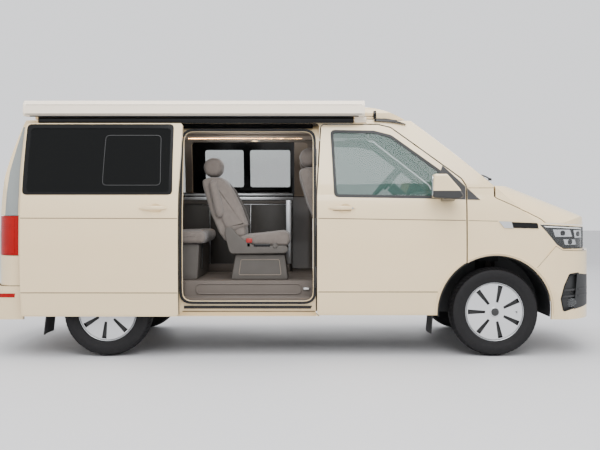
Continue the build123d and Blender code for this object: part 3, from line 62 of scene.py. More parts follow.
# ------------------------------------------------------------------ surfaces
def circle_through(a, b, c):
    """Centre and radius of the circle through three points of a plane."""
    (ay, az), (by, bz), (cy, cz) = a, b, c
    twice_area = 2 * (ay * (bz - cz) + by * (cz - az) + cy * (az - bz))
    a2, b2, c2 = ay * ay + az * az, by * by + bz * bz, cy * cy + cz * cz
    y = (a2 * (bz - cz) + b2 * (cz - az) + c2 * (az - bz)) / twice_area
    z = (a2 * (cy - by) + b2 * (ay - cy) + c2 * (by - ay)) / twice_area
    return y, z, math.hypot(ay - y, az - z)


def circle_y(z, a, b, c):
    """The y of the circle through three (y, z) points at height z, on the side where b lies."""
    middle_y, middle_z, radius = circle_through(a, b, c)
    out = np.sqrt(np.maximum(radius**2 - (z - middle_z) ** 2, 0))
    return middle_y + math.copysign(1, b[0] - middle_y) * out


def side(z):
    """Half width of the outer skin at height z: a tucked sill, three arcs and the roof corner."""
    z = np.asarray(z, float)
    tuck = 0.907 + (z - 0.310) * 0.163
    waist = circle_y(z, (0.938, 0.5), (0.952, 0.78), (0.948, 1.062))
    shoulder = circle_y(z, (0.948, 1.062), (0.940, 1.165), (0.925, 1.25))
    glass = circle_y(z, (0.925, 1.25), (0.868, 1.56), (0.800, 1.802))
    corner = circle_y(z, (0.800, 1.802), (0.782, 1.834), (0.744, 1.856))
    return np.select([z < 0.5, z < 1.062, z < 1.25, z < 1.802], [tuck, waist, shoulder, glass], corner)


def on_side(xz, proud, hand):
    """Points given as (x, z), laid on the outer skin and moved outward by proud."""
    return np.stack([xz[..., 0], hand * (side(xz[..., 1]) + proud), xz[..., 1]], -1)


def eased(points, radius, steps=6):
    """A closed outline whose corners are quadratic curves that leave each run early, by the radius over
    the tangent of half the corner's angle."""
    p = np.asarray(points, float)
    a, b = np.roll(p, 1, 0) - p, np.roll(p, -1, 0) - p
    a_long, b_long = np.linalg.norm(a, axis=1), np.linalg.norm(b, axis=1)
    u, v = a / a_long[:, None], b / b_long[:, None]
    half = 0.5 * np.arccos(np.clip((u * v).sum(1), -1, 1))
    reach = np.minimum(radius / np.tan(half), 0.46 * np.minimum(a_long, b_long))[:, None]
    t = np.linspace(0, 1, steps)[None, :, None]
    start, end = (p + u * reach)[:, None], (p + v * reach)[:, None]
    return ((1 - t) ** 2 * start + 2 * t * (1 - t) * p[:, None] + t**2 * end).reshape(-1, 2)


def evened(points, count, closed=True):
    """The same line with count points at equal steps of its length."""
    p = np.asarray(points, float)
    p = np.vstack([p, p[:1]]) if closed else p
    far = np.concatenate([[0], np.cumsum(np.linalg.norm(np.diff(p, axis=0), axis=1))])
    at = np.linspace(0, far[-1], count + 1)[:-1] if closed else np.linspace(0, far[-1], count)
    return np.stack([np.interp(at, far, p[:, k]) for k in range(p.shape[1])], 1)


def shrunk(points, by):
    """A closed convex outline with every side moved inward by the given distance."""
    p = np.asarray(points, float)
    a, b = np.roll(p, 1, 0) - p, np.roll(p, -1, 0) - p
    u, v = a / np.linalg.norm(a, axis=1)[:, None], b / np.linalg.norm(b, axis=1)[:, None]
    middle = u + v
    middle /= np.linalg.norm(middle, axis=1)[:, None]
    half = 0.5 * np.arccos(np.clip((u * v).sum(1), -1, 1))
    return p + middle * (by / np.sin(half))[:, None]


def scaled(points, by):
    """Points moved toward or away from their middle by a factor."""
    middle = points.mean(0)
    return middle + by * (points - middle)


def grid_faces(rows, cols, ring=False, start=0):
    """Quads of a grid of points kept row by row, with the columns joined round if ring."""
    r = np.arange(rows - 1)[:, None]
    c = np.arange(cols if ring else cols - 1)[None, :]
    after = (c + 1) % cols
    quads = [r * cols + c, r * cols + after, (r + 1) * cols + after, (r + 1) * cols + c]
    return (np.stack(quads, -1).reshape(-1, 4) + start).tolist()


def tube_faces(rows, cols):
    """Faces of a tube kept ring by ring, with both ends closed."""
    ends = [list(range(cols)), list(range(rows * cols - cols, rows * cols))]
    return grid_faces(rows, cols, ring=True) + ends


def piece(name, points, faces, finish, body="chassis", sharp=32):
    """A closed piece from points and faces, its faces turned outward, riding on a body."""
    mesh = bpy.data.meshes.new(name)
    mesh.from_pydata(np.asarray(points, float).reshape(-1, 3).tolist(), [], faces)
    tidy = bmesh.new()
    tidy.from_mesh(mesh)
    bmesh.ops.remove_doubles(tidy, verts=tidy.verts, dist=1e-6)
    bmesh.ops.dissolve_degenerate(tidy, edges=tidy.edges, dist=1e-7)
    bmesh.ops.recalc_face_normals(tidy, faces=tidy.faces)
    tidy.to_mesh(mesh)
    tidy.free()
    mesh.shade_smooth()
    mesh.set_sharp_from_angle(angle=math.radians(sharp))
    mesh.materials.append(finish)
    made = bpy.data.objects.new(name, mesh)
    bpy.context.scene.collection.objects.link(made)
    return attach(made, body) if body else made


def slab(name, front, back, finish, body="chassis", ring=False, sharp=32):
    """A wall between two grids of points: both faces, and the strips that join their rims."""
    rows, cols = front.shape[:2]
    index = np.arange(rows * cols).reshape(rows, cols)
    rims = [index[0], index[-1]]
    if ring:
        rims = [np.append(rim, rim[0]) for rim in rims]
    else:
        rims += [index[:, 0], index[:, -1]]
    joins = [np.stack([r[:-1], r[1:], r[1:] + rows * cols, r[:-1] + rows * cols], -1) for r in rims]
    faces = grid_faces(rows, cols, ring) + grid_faces(rows, cols, ring, rows * cols)
    return piece(name, np.concatenate([front, back]), faces + np.concatenate(joins).tolist(), finish, body,
                 sharp)


def ruled(first, second, rows):
    """A grid of straight rulings between two lines of points."""
    t = np.linspace(0, 1, rows)[:, None, None]
    return np.asarray(first, float)[None] * (1 - t) + np.asarray(second, float)[None] * t


def side_panel(name, first, second, finish, body="chassis", hand=RIGHT, proud=0.002, thick=0.004, rows=5,
               ring=False):
    """A thin panel on the outer skin, ruled between two lines of (x, z) points."""
    flat = ruled(first, second, rows)
    return slab(name, on_side(flat, proud, hand), on_side(flat, proud - thick, hand), finish, body, ring)


def sweep(name, path, profile, finish, body="chassis", up=(0, 0, 1), closed=False, grow=1.0, sharp=32):
    """A closed profile of (across, up) points carried along a path; across is square to the path and
    to the up direction, and grow scales the profile point by point along the path."""
    path, profile = np.asarray(path, float), np.asarray(profile, float)
    ahead = np.roll(path, -1, 0) - np.roll(path, 1, 0) if closed else np.gradient(path, axis=0)
    ahead /= np.linalg.norm(ahead, axis=1)[:, None]
    across = np.cross(ahead, np.asarray(up, float))
    across /= np.linalg.norm(across, axis=1)[:, None]
    lift = np.cross(across, ahead)
    size = np.broadcast_to(grow, len(path))[:, None, None]
    offsets = across[:, None] * profile[None, :, :1] + lift[:, None] * profile[None, :, 1:]
    points = path[:, None] + size * offsets
    if closed:
        points = np.concatenate([points, points[:1]])
        return piece(name, points, grid_faces(*points.shape[:2], ring=True), finish, body, sharp)
    return piece(name, points, tube_faces(*points.shape[:2]), finish, body, sharp)


def disc(radius, count=12):
    """A round profile."""
    a = np.linspace(0, 2 * np.pi, count, endpoint=False)
    return radius * np.stack([np.cos(a), np.sin(a)], 1)


def plank(wide, high, ease=0.002):
    """A rectangular profile with eased corners."""
    return eased([(-wide / 2, -high / 2), (wide / 2, -high / 2), (wide / 2, high / 2), (-wide / 2, high / 2)],
                 ease, 3)


def lathe(name, profile, centre, finish, body="chassis", hand=1, count=64, axis="y", sharp=32):
    """A closed (radius, along) profile turned round the Y or Z axis through centre."""
    profile = np.asarray(profile, float)
    a = np.linspace(0, 2 * np.pi, count, endpoint=False)[None, :]
    r, along = np.maximum(profile[:, :1], 1e-5), hand * profile[:, 1:] + 0 * a
    if axis == "y":
        grid = np.stack([r * np.cos(a), along, r * np.sin(a)], -1)
    else:
        grid = np.stack([r * np.cos(a), r * np.sin(a), along], -1)
    grid = np.concatenate([grid, grid[:1]]) + np.asarray(centre, float)
    return piece(name, grid, grid_faces(*grid.shape[:2], ring=True), finish, body, sharp)


def bar(name, low, high, finish, body="chassis", ease=0.004):
    """A block with eased edges along its longest side, between two corners."""
    low, high = np.asarray(low, float), np.asarray(high, float)
    size = high - low
    order = np.argsort(size)
    long_way = order[2]
    path = np.repeat(((low + high) / 2)[None], 4, 0)
    trim = min(ease, size[long_way] * 0.2)
    path[:, long_way] = [low[long_way], low[long_way] + trim, high[long_way] - trim, high[long_way]]
    up = np.zeros(3)
    up[order[0]] = 1
    short = 1 - 1.2 * ease / size[order[1]] if size[order[1]] > 4 * ease else 0.9
    return sweep(name, path, plank(size[order[1]], size[order[0]], ease), finish, body, up,
                 grow=[short, 1, 1, short])


def settled(made):
    """The piece with its modifiers worked into its mesh."""
    bpy.context.view_layer.update()
    graph = bpy.context.evaluated_depsgraph_get()
    mesh = bpy.data.meshes.new_from_object(made.evaluated_get(graph))
    made.modifiers.clear()
    made.data = mesh
    return made


def draped(name, flat, target, finish, start, body="chassis", way="y", offset=0.003, thick=0.004, ring=False):
    """A thin panel laid on a node: a flat grid in the plane at start is carried along one axis until it
    meets the node, moved out by offset and given its thickness inward."""
    grid = np.insert(flat, "xyz".index(way), start, axis=2)
    mesh = bpy.data.meshes.new(name)
    mesh.from_pydata(grid.reshape(-1, 3).tolist(), [], grid_faces(*grid.shape[:2], ring=ring))
    made = bpy.data.objects.new(name, mesh)
    bpy.context.scene.collection.objects.link(made)
    wrap = made.modifiers.new("lay", "SHRINKWRAP")
    wrap.wrap_method = "PROJECT"
    setattr(wrap, f"use_project_{way}", True)
    wrap.use_positive_direction = wrap.use_negative_direction = True
    wrap.target = NODES[target]
    laid = settled(made)
    points = np.empty(len(laid.data.vertices) * 3)
    laid.data.vertices.foreach_get("co", points)
    points = points.reshape(grid.shape)
    axis = "xyz".index(way)
    bpy.data.objects.remove(made)
    out = np.zeros(3)
    out[axis] = math.copysign(1, (grid - points)[..., axis].mean())
    return slab(name, points + out * offset, points + out * (offset - thick), finish, body, ring)


# ------------------------------------------------------------------ finishes
def linear(code):
    """An sRGB hex colour as linear red, green, blue and an alpha of 1."""
    parts = [int(code[i:i + 2], 16) / 255 for i in (0, 2, 4)]
    return tuple(c / 12.92 if c <= 0.04045 else ((c + 0.055) / 1.055) ** 2.4 for c in parts) + (1.0,)


def add_node(tree, kind, settings=None, values=None, links=None):
    """One shader node, with its settings, its socket values and the sockets that feed it."""
    made = tree.nodes.new(kind)
    for name, value in (settings or {}).items():
        setattr(made, name, value)
    for name, value in (values or {}).items():
        made.inputs[name].default_value = value
    for name, source in (links or {}).items():
        tree.links.new(source, made.inputs[name])
    return made


def finish(name, base, shade, rough, cloud=0.35, grain=0.0, depth=0.0, spread=0.25, **values):
    """A finish of two close shades mixed by cloudy noise cloud metres wide, with roughness that
    wanders by spread of itself over the same noise and a bump of grain metres, depth metres high."""
    made = bpy.data.materials.new(name)
    made.use_nodes = True
    tree = made.node_tree
    shader = tree.nodes["Principled BSDF"]
    for socket, value in values.items():
        shader.inputs[socket.replace("_", " ").title().replace("Ior", "IOR")].default_value = value
    place = add_node(tree, "ShaderNodeTexCoord")
    clouds = add_node(tree, "ShaderNodeTexNoise",
                      values={"Scale": 1 / cloud, "Detail": 4.0, "Roughness": 0.55},
                      links={"Vector": place.outputs["Object"]})
    mix = add_node(tree, "ShaderNodeMix", {"data_type": "RGBA"}, {6: linear(base), 7: linear(shade)},
                   {0: clouds.outputs["Fac"]})
    tree.links.new(mix.outputs[2], shader.inputs["Base Color"])
    wander = add_node(tree, "ShaderNodeMapRange",
                      values={"To Min": rough * (1 - spread), "To Max": rough * (1 + spread)},
                      links={"Value": clouds.outputs["Fac"]})
    tree.links.new(wander.outputs["Result"], shader.inputs["Roughness"])
    if depth:
        fine = add_node(tree, "ShaderNodeTexNoise", values={"Scale": 1 / grain, "Detail": 3.0},
                        links={"Vector": place.outputs["Object"]})
        bump = add_node(tree, "ShaderNodeBump", values={"Strength": 0.6, "Distance": depth},
                        links={"Height": fine.outputs["Fac"]})
        tree.links.new(bump.outputs["Normal"], shader.inputs["Normal"])
    return made


def parts_of(made):
    """The tree, shader, coordinates and colour mix of a finish."""
    tree = made.node_tree
    kinds = {n.bl_idname: n for n in tree.nodes}
    return tree, tree.nodes["Principled BSDF"], kinds["ShaderNodeTexCoord"], kinds["ShaderNodeMix"]


def second_finish(made, where, base, rough, metal=None):
    """Another colour and roughness where the given factor is 1."""
    tree, shader, _, mix = parts_of(made)
    over = add_node(tree, "ShaderNodeMix", {"data_type": "RGBA"}, {7: linear(base)},
                    {0: where, 6: mix.outputs[2]})
    tree.links.new(over.outputs[2], shader.inputs["Base Color"])
    old = shader.inputs["Roughness"].links[0].from_socket
    rough_mix = add_node(tree, "ShaderNodeMix", values={3: rough}, links={0: where, 2: old})
    tree.links.new(rough_mix.outputs[0], shader.inputs["Roughness"])
    if metal is not None:
        metal_mix = add_node(tree, "ShaderNodeMix",
                             values={2: shader.inputs["Metallic"].default_value, 3: metal},
                             links={0: where})
        tree.links.new(metal_mix.outputs[0], shader.inputs["Metallic"])
    return made


def inner_faces(made, across=0.0, down=0.0):
    """A factor that is 1 on faces turned in toward the cabin: sideways by across, downward by down."""
    tree, _, place, _ = parts_of(made)
    spot = add_node(tree, "ShaderNodeSeparateXYZ", links={0: place.outputs["Object"]})
    turn = add_node(tree, "ShaderNodeSeparateXYZ", links={0: place.outputs["Normal"]})
    hand = add_node(tree, "ShaderNodeMath", {"operation": "SIGN"}, links={0: spot.outputs["Y"]})
    inward = add_node(tree, "ShaderNodeMath", {"operation": "MULTIPLY"},
                      links={0: hand.outputs[0], 1: turn.outputs["Y"]})
    sideways = add_node(tree, "ShaderNodeMath", {"operation": "LESS_THAN"}, {1: -across if across else -2.0},
                        {0: inward.outputs[0]})
    below = add_node(tree, "ShaderNodeMath", {"operation": "LESS_THAN"}, {1: -down if down else -2.0},
                     {0: turn.outputs["Z"]})
    either = add_node(tree, "ShaderNodeMath", {"operation": "MAXIMUM"},
                      links={0: sideways.outputs[0], 1: below.outputs[0]})
    return either.outputs[0]


def split_at(made, axis, value, both=False, width=0.0008):
    """A factor that is 1 past a value of one object coordinate, or of its size if both."""
    tree, _, place, _ = parts_of(made)
    spot = add_node(tree, "ShaderNodeSeparateXYZ", links={0: place.outputs["Object"]})
    source = spot.outputs[axis]
    if both:
        source = add_node(tree, "ShaderNodeMath", {"operation": "ABSOLUTE"}, links={0: source}).outputs[0]
    step = add_node(tree, "ShaderNodeMapRange", values={"From Min": value - width, "From Max": value + width},
                    links={"Value": source})
    return step.outputs["Result"]


def woven(made, thread, depth):
    """Adds a plain weave: two square sets of ridges one thread apart, crossed, as bump and a little shade."""
    tree, shader, place, mix = parts_of(made)
    turned = [add_node(tree, "ShaderNodeTexWave", {"bands_direction": way, "wave_profile": "SIN"},
                       {"Scale": 0.314 / thread, "Distortion": 0.6, "Detail": 1.0, "Detail Scale": 2.0},
                       {"Vector": place.outputs["Object"]}) for way in ("X", "Y", "Z")]
    first = add_node(tree, "ShaderNodeMath", {"operation": "MULTIPLY"},
                     links={0: turned[0].outputs["Fac"], 1: turned[1].outputs["Fac"]})
    cross = add_node(tree, "ShaderNodeMath", {"operation": "MAXIMUM"},
                     links={0: first.outputs[0], 1: turned[2].outputs["Fac"]})
    bump = add_node(tree, "ShaderNodeBump", values={"Strength": 0.7, "Distance": depth},
                    links={"Height": cross.outputs[0]})
    tree.links.new(bump.outputs["Normal"], shader.inputs["Normal"])
    dark = add_node(tree, "ShaderNodeMapRange", values={"To Min": 0.82, "To Max": 1.0},
                    links={"Value": cross.outputs[0]})
    shade = add_node(tree, "ShaderNodeMix", {"data_type": "RGBA", "blend_type": "MULTIPLY"}, {0: 1.0},
                     {6: mix.outputs[2], 7: dark.outputs["Result"]})
    tree.links.new(shade.outputs[2], shader.inputs["Base Color"])
    return made


def clear(made, alpha):
    """A finish that light passes straight through, keeping alpha of itself."""
    _, shader, _, _ = parts_of(made)
    shader.inputs["Alpha"].default_value = alpha
    made.surface_render_method = "DITHERED"
    return made


# Two-coat paint: solid warm cream under clear lacquer, faint orange peel about 12 mm wide.
def cream(name):
    return finish(name, "EAD3A9", "E5CDA1", 0.34, cloud=0.8, grain=0.012, depth=0.00003,
                  coat_weight=0.7, coat_roughness=0.05, specular_ior_level=0.5)


PAINT = cream("cream_body_paint")
# Cream outside, moulded grey-beige trim on the faces turned in toward the cabin.
SHELL = cream("cream_shell_paint_and_inner_trim")
second_finish(SHELL, inner_faces(SHELL, across=0.35, down=0.6), "6E655C", 0.75)
# Powder-coated aluminium extrusion: warm white, fine pebble 1.5 mm drawn a little coarse.
AWNING = finish("powder_coated_aluminium", "F3E6D2", "EDE0CB", 0.42, cloud=0.5, grain=0.002, depth=0.00006)
# Grained ABS: dark grey, leather grain of 1.8 mm.
GRAINED = finish("grained_black_abs", "191A1B", "232425", 0.58, cloud=0.2, grain=0.0018, depth=0.00025)
# The same moulding in a lighter dark grey: sail panels, fins, hub caps and joint lines; the awning's joint
# lines are also painted shade.
SAIL = finish("grained_dark_grey_abs", "222223", "2A2A2B", 0.55, cloud=0.2, grain=0.0018, depth=0.0002)
# Polished ABS: black with a sharp, low highlight.
GLOSS = finish("gloss_black_abs", "030304", "060607", 0.14, cloud=0.3, grain=0.02, depth=0.00002,
               specular_ior_level=0.3)
# Extruded seal rubber: matt, nearly black, with hardly any highlight. It also draws thin lines of painted
# shade along the fender crease and below the sill slot.
RUBBER = finish("epdm_seal_rubber", "121213", "1B1B1C", 0.72, cloud=0.08, grain=0.002, depth=0.00015)
# Cast iron: rough and dull, with some brown in its grey.
CAST = finish("cast_iron", "2B2A2A", "39352F", 0.8, cloud=0.05, grain=0.003, depth=0.0004, metallic=0.6)
# Dull steel: blotched grey metal with a wide highlight.
PLAIN_STEEL = finish("dull_exhaust_steel", "6B6762", "4E4842", 0.5, cloud=0.12, grain=0.004, depth=0.0001,
                     metallic=1.0)
# Plated ABS: a clean mirror.
CHROME = finish("chrome_plate", "E4E5E6", "D6D8DA", 0.1, cloud=0.1, grain=0.03, depth=0.00001, metallic=1.0)
# Anodised extrusion: pale metal with a soft, satin highlight.
ALUMINIUM = finish("anodised_aluminium", "C6C8C9", "B4B6B8", 0.32, cloud=0.1, grain=0.0015, depth=0.00003,
                   metallic=1.0)
# Moulded step and floor: warm grey ABS, dull from its mould grain; ahead of the cabin, black underseal.
STEP = finish("moulded_step_abs", "6A615A", "5F5750", 0.6, cloud=0.18, grain=0.003, depth=0.0002)
FLOOR = finish("floor_lining_abs_over_black_underseal", "6A615A", "5F5750", 0.6, cloud=0.18, grain=0.003,
               depth=0.0002)
second_finish(FLOOR, split_at(FLOOR, "X", UNDERSEAL_X), "0C0C0D", 0.85)
# Foam-backed skin: near black and matt, with fine grain.
DASH = finish("soft_touch_dash_foam", "26292A", "2F3233", 0.7, cloud=0.15, grain=0.0015, depth=0.0002)
# Injection-moulded shields and boxes: warm mid grey, matt.
PEDESTAL = finish("moulded_grey_abs", "524D48", "494540", 0.6, cloud=0.15, grain=0.002, depth=0.00015)
# Pressed laminate on board: dark brown grey with an even satin sheen.
LAMINATE = finish("dark_satin_laminate", "3B3834", "34312D", 0.42, cloud=0.3, grain=0.0012, depth=0.00005)
# Acrylic coloured through: deep red, a little uneven, as over prisms.
REFLECTOR_RED = finish("red_acrylic", "A80200", "8C0100", 0.2, cloud=0.05, grain=0.006, depth=0.0003,
                       specular_ior_level=0.25)
# Opal acrylic: milky white, as over a lamp that is off.
MILKY_ACRYLIC = finish("milky_lamp_acrylic", "E8E8E4", "DEDEDA", 0.3, cloud=0.2, grain=0.01, depth=0.00003)
# Moulded buckle button: dull red.
RED_ABS = finish("red_buckle_abs", "9E1B14", "87140F", 0.4, cloud=0.02, grain=0.002, depth=0.0001)
# Privacy glass is nearly black; the cab's is pale green; the far panes greyer.
PRIVACY = clear(finish("privacy_glass", "020303", "040505", 0.05, cloud=0.6, ior=1.5, specular_ior_level=0.2),
                0.96)
GREEN_GLASS = clear(finish("green_tinted_glass", "43625A", "496860", 0.03, cloud=0.6, ior=1.5), 0.38)
LENS = clear(finish("clear_polycarbonate", "D5DADC", "E2E6E8", 0.05, cloud=0.2, ior=1.58), 0.05)
SIDE_GLASS = clear(finish("tinted_side_glass", "7E9793", "87A09B", 0.03, cloud=0.6, ior=1.5), 0.40)
# Flat-woven polyester: 3.5 mm ribs, drawn coarser than the real thread so that they show.
GREY_FABRIC = woven(finish("woven_seat_polyester", "7B726B", "6C645E", 0.9, cloud=0.03, sheen_weight=0.25),
                    0.0035, 0.0006)
# A darker copy of the seat fabric for the left-hand bolsters only: painted shade.
SHADED_FABRIC = woven(finish("shaded_bolster_fabric", "4A4541", "423D39", 0.9, cloud=0.03, sheen_weight=0.2), 0.0035,
                    0.0005)
# Coated cotton canvas: neutral grey, 3 mm weave, drawn coarse.
CANVAS = woven(finish("tent_canvas", "8D8C88", "817F7B", 0.85, cloud=0.05), 0.003, 0.0004)
# Tyre rubber: charcoal, clouded a little lighter.
TYRE = finish("tyre_rubber", "0C0B0C", "161517", 0.68, cloud=0.03, grain=0.004, depth=0.0003,
              specular_ior_level=0.3)
# Wheel covers in satin silver; the steel well behind them in black, made near black also as painted shade
# seen through the cover's slots.
WHEEL = finish("silver_wheel_lacquer", "0E0E0F", "131314", 0.5, cloud=0.1, grain=0.002, depth=0.00005)
second_finish(WHEEL, split_at(WHEEL, "Y", WHEEL_COVER_Y, both=True), "CDCED0", 0.26, metal=0.55)
# Mirror shells: cream cap over a black lower half.
MIRROR = cream("mirror_cap_paint_over_black_abs")
below_cap = add_node(MIRROR.node_tree, "ShaderNodeMath", {"operation": "SUBTRACT"}, {0: 1.0},
                     {1: split_at(MIRROR, "Z", MIRROR_CAP_LOW)})
second_finish(MIRROR, below_cap.outputs[0], "070708", 0.6)
# Frosted cover of a lit lamp: it glows warm white.
GLOW = finish("warm_led_diffuser", "FFE9C4", "FFE2B4", 0.5, cloud=0.1, emission_color=linear("FFD79A"),
              emission_strength=9.0)

for nodes, made in (
    (("front_door_left", "front_door_right", "body_side_left", "body_side_right", "roof_frame",
      "sliding_door", "tailgate", "pop_up_roof"), SHELL),
    (("front_fenders", "front_bumper", "rear_bumper", "bonnet"), PAINT),
    (("cowl_panel", "arch_liners", "fuel_tank", "grille"), GRAINED),
    (("front_axle", "rear_axle", "engine_block", "knuckle_left", "knuckle_right"), CAST),
    (("exhaust", "tow_sockets"), PLAIN_STEEL),
    (("awning",), AWNING), (("floor_pan",), FLOOR), (("dashboard", "steering_wheel"), DASH),
    (("kitchen_unit",), LAMINATE), (("tail_lamps",), REFLECTOR_RED), (("headlights",), LENS),
    (("windscreen", "door_glass_left", "door_glass_right"), GREEN_GLASS),
    (("side_windows",), SIDE_GLASS), (("sliding_door_glass", "tailgate_glass"), PRIVACY),
    (("mirror_left", "mirror_right"), MIRROR),
    (("tent_bellows",), CANVAS), (("front_seats", "cabin_seat", "rear_bench"), GREY_FABRIC),
    (tuple(n for n in NODES if n.startswith("wheel_")), WHEEL),
    (tuple(n for n in NODES if n.startswith("tyre_")), TYRE),
):
    for node in nodes:
        mesh = NODES[node].data
        mesh.materials.clear()
        mesh.materials.append(made)


# ------------------------------------------------------------------ tyres
def tyre(name, x, hand, node, body):
    """A tyre as radius over (angle, across): the section's arcs, four round grooves, and cross cuts
    that deepen toward the shoulders."""
    across = np.linspace(-1, 1, 57)
    turn = np.linspace(0, 2 * np.pi, 361)[:-1]
    u, a = np.meshgrid(across, turn, indexing="ij")
    crown = AXLE_Z - 0.0145 * np.abs(u) ** 2.6
    round_cuts = sum(np.exp(-((u - c) / 0.035) ** 8) for c in (-0.62, -0.21, 0.21, 0.62))
    wave = np.sin(60 * a + 5 * u * np.sign(u))
    cross_cuts = np.clip((wave - 0.35) * 6, 0, 1) * np.clip((np.abs(u) - 0.3) * 4, 0, 1)
    radius = crown - 0.0065 * np.maximum(round_cuts, 0.8 * cross_cuts)
    width = 0.0935 * u
    tread = np.stack([radius, width], 0)
    flank_r = np.array([0.325, 0.315, 0.300, 0.282, 0.262, 0.246, 0.240, 0.232, 0.2295, 0.2165, 0.2035])
    flank_y = np.array([0.1010, 0.1050, 0.1072, 0.1075, 0.1050, 0.0985, 0.0990, 0.0950, 0.0800, 0.0660,
                        0.0480])
    outer = np.stack([flank_r, flank_y])[:, :, None] + np.zeros((1, 1, len(turn)))
    inner_y = np.array([-0.0740, -0.0800, -0.0900, -0.0985, -0.1050, -0.1075, -0.1072, -0.1050, -0.1010])
    inner_r = np.array([0.2035, 0.2190, 0.2290, 0.2460, 0.2620, 0.2820, 0.3000, 0.3150, 0.3250])
    inner = np.stack([inner_r, inner_y])[:, :, None] + np.zeros((1, 1, len(turn)))
    section = np.concatenate([tread, outer, inner], 1)
    grid = np.stack([x + section[0] * np.cos(a[:1]), hand * (HALF_TRACK + section[1]),
                     AXLE_Z + section[0] * np.sin(a[:1])], -1)
    grid = np.concatenate([grid, grid[:1]])
    made = piece(name, grid, grid_faces(*grid.shape[:2], ring=True), TYRE, body, sharp=40)
    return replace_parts(made, node)


for end, x in (("front", FRONT_AXLE), ("rear", REAR_AXLE)):
    for side_name, hand in (("left", LEFT), ("right", RIGHT)):
        body = f"{end}_wheel_{side_name}"
        tyre(f"treaded_tyre_{end}_{side_name}", x, hand, f"tyre_{end}_{side_name}", body)
        cap = [(0, 0.1012), (0.026, 0.1010), (0.0325, 0.0995), (0.034, 0.0950), (0, 0.0950)]
        lathe(f"hub_cap_{end}_{side_name}", cap, (x, hand * HALF_TRACK, AXLE_Z), SAIL, body, hand)
        rim = [(0.2235, 0.0765), (0.2262, 0.0775), (0.2275, 0.0740), (0.2262, 0.0690), (0.2235, 0.0695)]
        lathe(f"cover_rim_{end}_{side_name}", rim, (x, hand * HALF_TRACK, AXLE_Z), ALUMINIUM, body, hand,
              count=96)
        stem = np.array([(x + 0.165, hand * 0.896, AXLE_Z), (x + 0.167, hand * 0.906, AXLE_Z),
                         (x + 0.170, hand * 0.914, AXLE_Z)])
        sweep(f"valve_{end}_{side_name}", stem, disc(0.0045), RUBBER, body, up=(0, 0, 1))


# ------------------------------------------------------------------ skin near the nose
def nose_half(x):
    """Half width of the outline seen from above: the corner arc, then the cheek arc behind it."""
    x = np.asarray(x, float)
    corner = circle_y(x, (0.640, 2.336), (0.795, 2.257), (0.905, 2.107))
    cheek = circle_y(x, (0.905, 2.107), (0.941, 2.002), (0.962, 1.832))
    return np.select([x > 2.107, x > 1.832], [corner, cheek], 0.962)


def on_bumper(xz, proud, hand):
    """Points given as (x, z), laid on the bumper's skin and moved outward by proud."""
    half = np.minimum(side(xz[..., 1]), nose_half(xz[..., 0]))
    return np.stack([xz[..., 0], hand * (half + proud), xz[..., 1]], -1)


def bumper_panel(name, first, second, finish, hand, proud=0.002, thick=0.004, rows=6, ring=False):
    """A thin panel on the bumper's skin, ruled between two lines of (x, z) points."""
    flat = ruled(first, second, rows)
    return slab(name, on_bumper(flat, proud, hand), on_bumper(flat, proud - thick, hand), finish, ring=ring)


def line(*points, count=24):
    """Evenly spaced points on a run of straight lines."""
    return evened(points, count, closed=False)


def patch(upper, lower, cols, rows):
    """A flat grid of points between two straight lines, each given by its ends."""
    return ruled(line(*upper, count=cols), line(*lower, count=cols), rows)


def strip(name, upper, lower, *rest, **how):
    """A panel on the outer skin between two straight lines, each given by its ends."""
    return side_panel(name, line(*upper), line(*lower), *rest, **how)


def frame_ring(points, radius, grow, inward, count=150):
    """Outer and inner outlines of a frame that grows outward and inward from a rounded opening."""
    outer = evened(eased(shrunk(points, -grow), radius + grow), count)
    inner = evened(eased(shrunk(points, inward), max(radius - inward, 0.006)), count)
    return outer, inner


DOOR_WINDOW = [(0.307, 1.240), (0.281, 1.752), (0.613, 1.746), (0.743, 1.712), (1.148, 1.412), (1.237, 1.330),
               (1.253, 1.226)]
# Joint and crease lines and the shadow under the pull handles, all painted shade: the brown grey of a shaded
# groove in the paint.
SHADOW = finish("shaded_groove_paint", "6B5E4C", "5F5343", 0.6, cloud=0.2, grain=0.004, depth=0.00005)
# The lip round a front wheel arch: its radius about the axle, and its profile of (across, up) points.
LIP_RADIUS = 0.455
LIP = eased([(-0.006, -0.013), (0.004, -0.012), (0.006, 0.006), (-0.006, 0.015)], 0.004, 3)
# The size of a pull handle from one end to the other, as a share of its middle.
PULL = [0.0, 0.35, 0.7, 0.95, 1.0, 1.0, 0.96, 0.9, 0.8, 0.55, 0.15]


def pull_handle(name, x_from, x_to, z, hand, body, out=0.0):
    """A pull handle: an eased bar whose size follows PULL, bowed outward as a half sine."""
    t = np.linspace(0, 1, len(PULL))
    x = x_from + (x_to - x_from) * t
    y = side(z) + out + 0.005 + 0.019 * np.sin(np.pi * t) ** 0.7
    path = np.stack([x, hand * y, z + 0.003 * np.sin(np.pi * t)], 1)
    return sweep(name, path, plank(0.018, 0.030, 0.008), PAINT, body, grow=np.maximum(PULL, 0.12))


def arch_lip(name, angles, lay, proud, hand, body):
    """A lip swept along an arc about the front axle, laid on the skin that lay gives."""
    arc = np.stack([FRONT_AXLE + LIP_RADIUS * np.cos(angles), AXLE_Z + LIP_RADIUS * np.sin(angles)], 1)
    return sweep(name, lay(arc, proud, hand), LIP if hand < 0 else LIP[::-1] * (-1, 1), PAINT, body,
                 up=(0, 1, 0))


